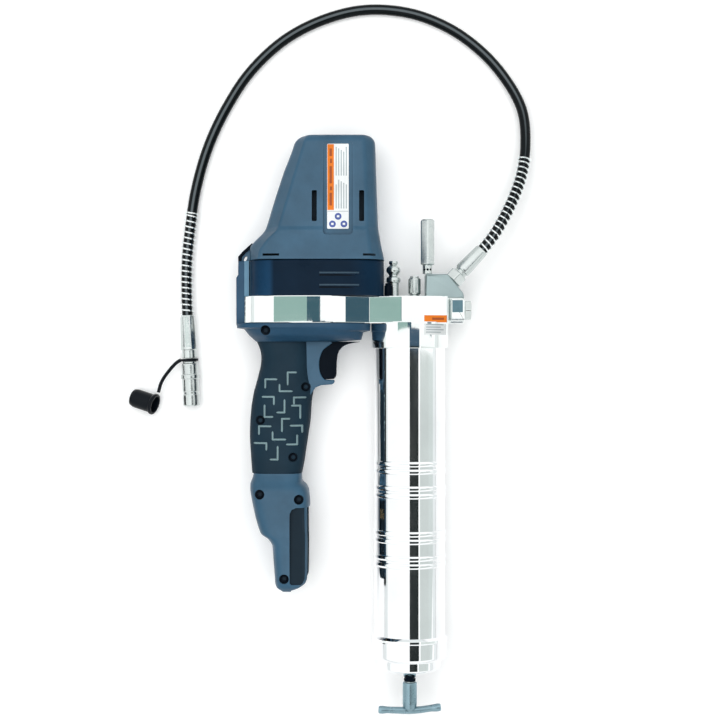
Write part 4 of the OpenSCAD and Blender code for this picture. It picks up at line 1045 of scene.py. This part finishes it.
FLOOR, t, b = new_material("floor_finish")
paint = ramp(t, noise(t, 3.0), [(0.3, (0.9456, 0.9456, 0.9456)), (0.7, (0.96, 0.96, 0.96))])
t.links.new(paint, b.inputs["Base Color"])
b.inputs["Roughness"].default_value = 0.6
b.inputs["Emission Color"].default_value = (1.0, 1.0, 1.0, 1.0)
b.inputs["Emission Strength"].default_value = 0.1
level_sheet("floor", (-6, -6), (6, 6), -0.0006, FLOOR)


def card(name, low, high, height, color):
    """A level card above the object that only its reflections see, given by two corners in metres."""
    m = bpy.data.materials.new(name + "_finish")
    m.use_nodes = True
    m.node_tree.nodes.clear()
    glow = node(m.node_tree, "ShaderNodeEmission", Color=(*color, 1.0), Strength=1.0)
    m.node_tree.links.new(glow.outputs[0], m.node_tree.nodes.new("ShaderNodeOutputMaterial").inputs[0])
    obj = level_sheet(name, low, high, height, m)
    obj.visible_camera = False
    obj.visible_shadow = False
    obj.visible_diffuse = False
    return obj


lamp_data = bpy.data.lights.new("overhead_light", "AREA")
lamp_data.shape = "RECTANGLE"
lamp_data.size = lamp_data.size_y = 2.4
lamp_data.energy = 58
lamp = link("overhead_light", lamp_data)
lamp.location = (-0.15, 0.15, 2.3)
lamp.rotation_euler = (Vector((0, 0, 0.04)) - lamp.location).to_track_quat("-Z", "Y").to_euler()

# Cards over the object: a white ceiling, then coloured strips, laid out for the view from above
CARD_HEIGHT = 1.2
card("ceiling_card", (-6, -6), (6, 6), 1.26, (1.18, 1.2, 1.2))
for name, low, high, color in (
        ("barrel_dark_card", (0.0, -0.9), (0.62, 0.071), (0.02, 0.026, 0.026)),
        ("barrel_grey_card", (0.75, -0.9), (2.2, 0.071), (0.68, 0.74, 0.72)),
        ("barrel_right_card", (2.2, -0.9), (6.0, 0.071), (0.72, 0.79, 0.77)),
        ("collar_blue_card", (0.0, 0.071), (0.62, 0.106), (0.06, 0.11, 0.17)),
        ("band_green_card", (-0.84, 0.106), (-0.12, 0.172), (0.32, 0.49, 0.45)),
        ("band_dark_card", (-0.12, 0.106), (0.1, 0.162), (0.05, 0.12, 0.155)),
        ("band_right_card", (1.5, 0.111), (2.6, 0.215), (0.05, 0.11, 0.15))):
    card(name, low, high, CARD_HEIGHT, color)
# A dark flag standing on its side to the left of the object
flag = card("side_flag", (-0.107, -0.21), (0.0, 0.074), 0.0, (0.008, 0.014, 0.014))
flag.location = (-0.55, 0, 0)
flag.rotation_euler = (0, math.pi / 2, 0)

studio = bpy.data.worlds.new("studio")
bpy.context.scene.world = studio
studio.use_nodes = True
tree = studio.node_tree
back = tree.nodes["Background"]
back.inputs["Color"].default_value = (0.9, 0.95, 0.95, 1)
# Full strength for camera and mirror rays, 0.3 for the rest
rays = tree.nodes.new("ShaderNodeLightPath")
seen = node(tree, "ShaderNodeMath", operation="MAXIMUM")
feed(tree, seen.inputs, (rays.outputs["Is Glossy Ray"], rays.outputs["Is Camera Ray"]))
strength = node(tree, "ShaderNodeMapRange", **{"To Min": 0.3, "To Max": 1.0})
tree.links.new(seen.outputs[0], strength.inputs["Value"])
tree.links.new(strength.outputs[0], back.inputs["Strength"])
bpy.context.scene.view_settings.view_transform = "Standard"
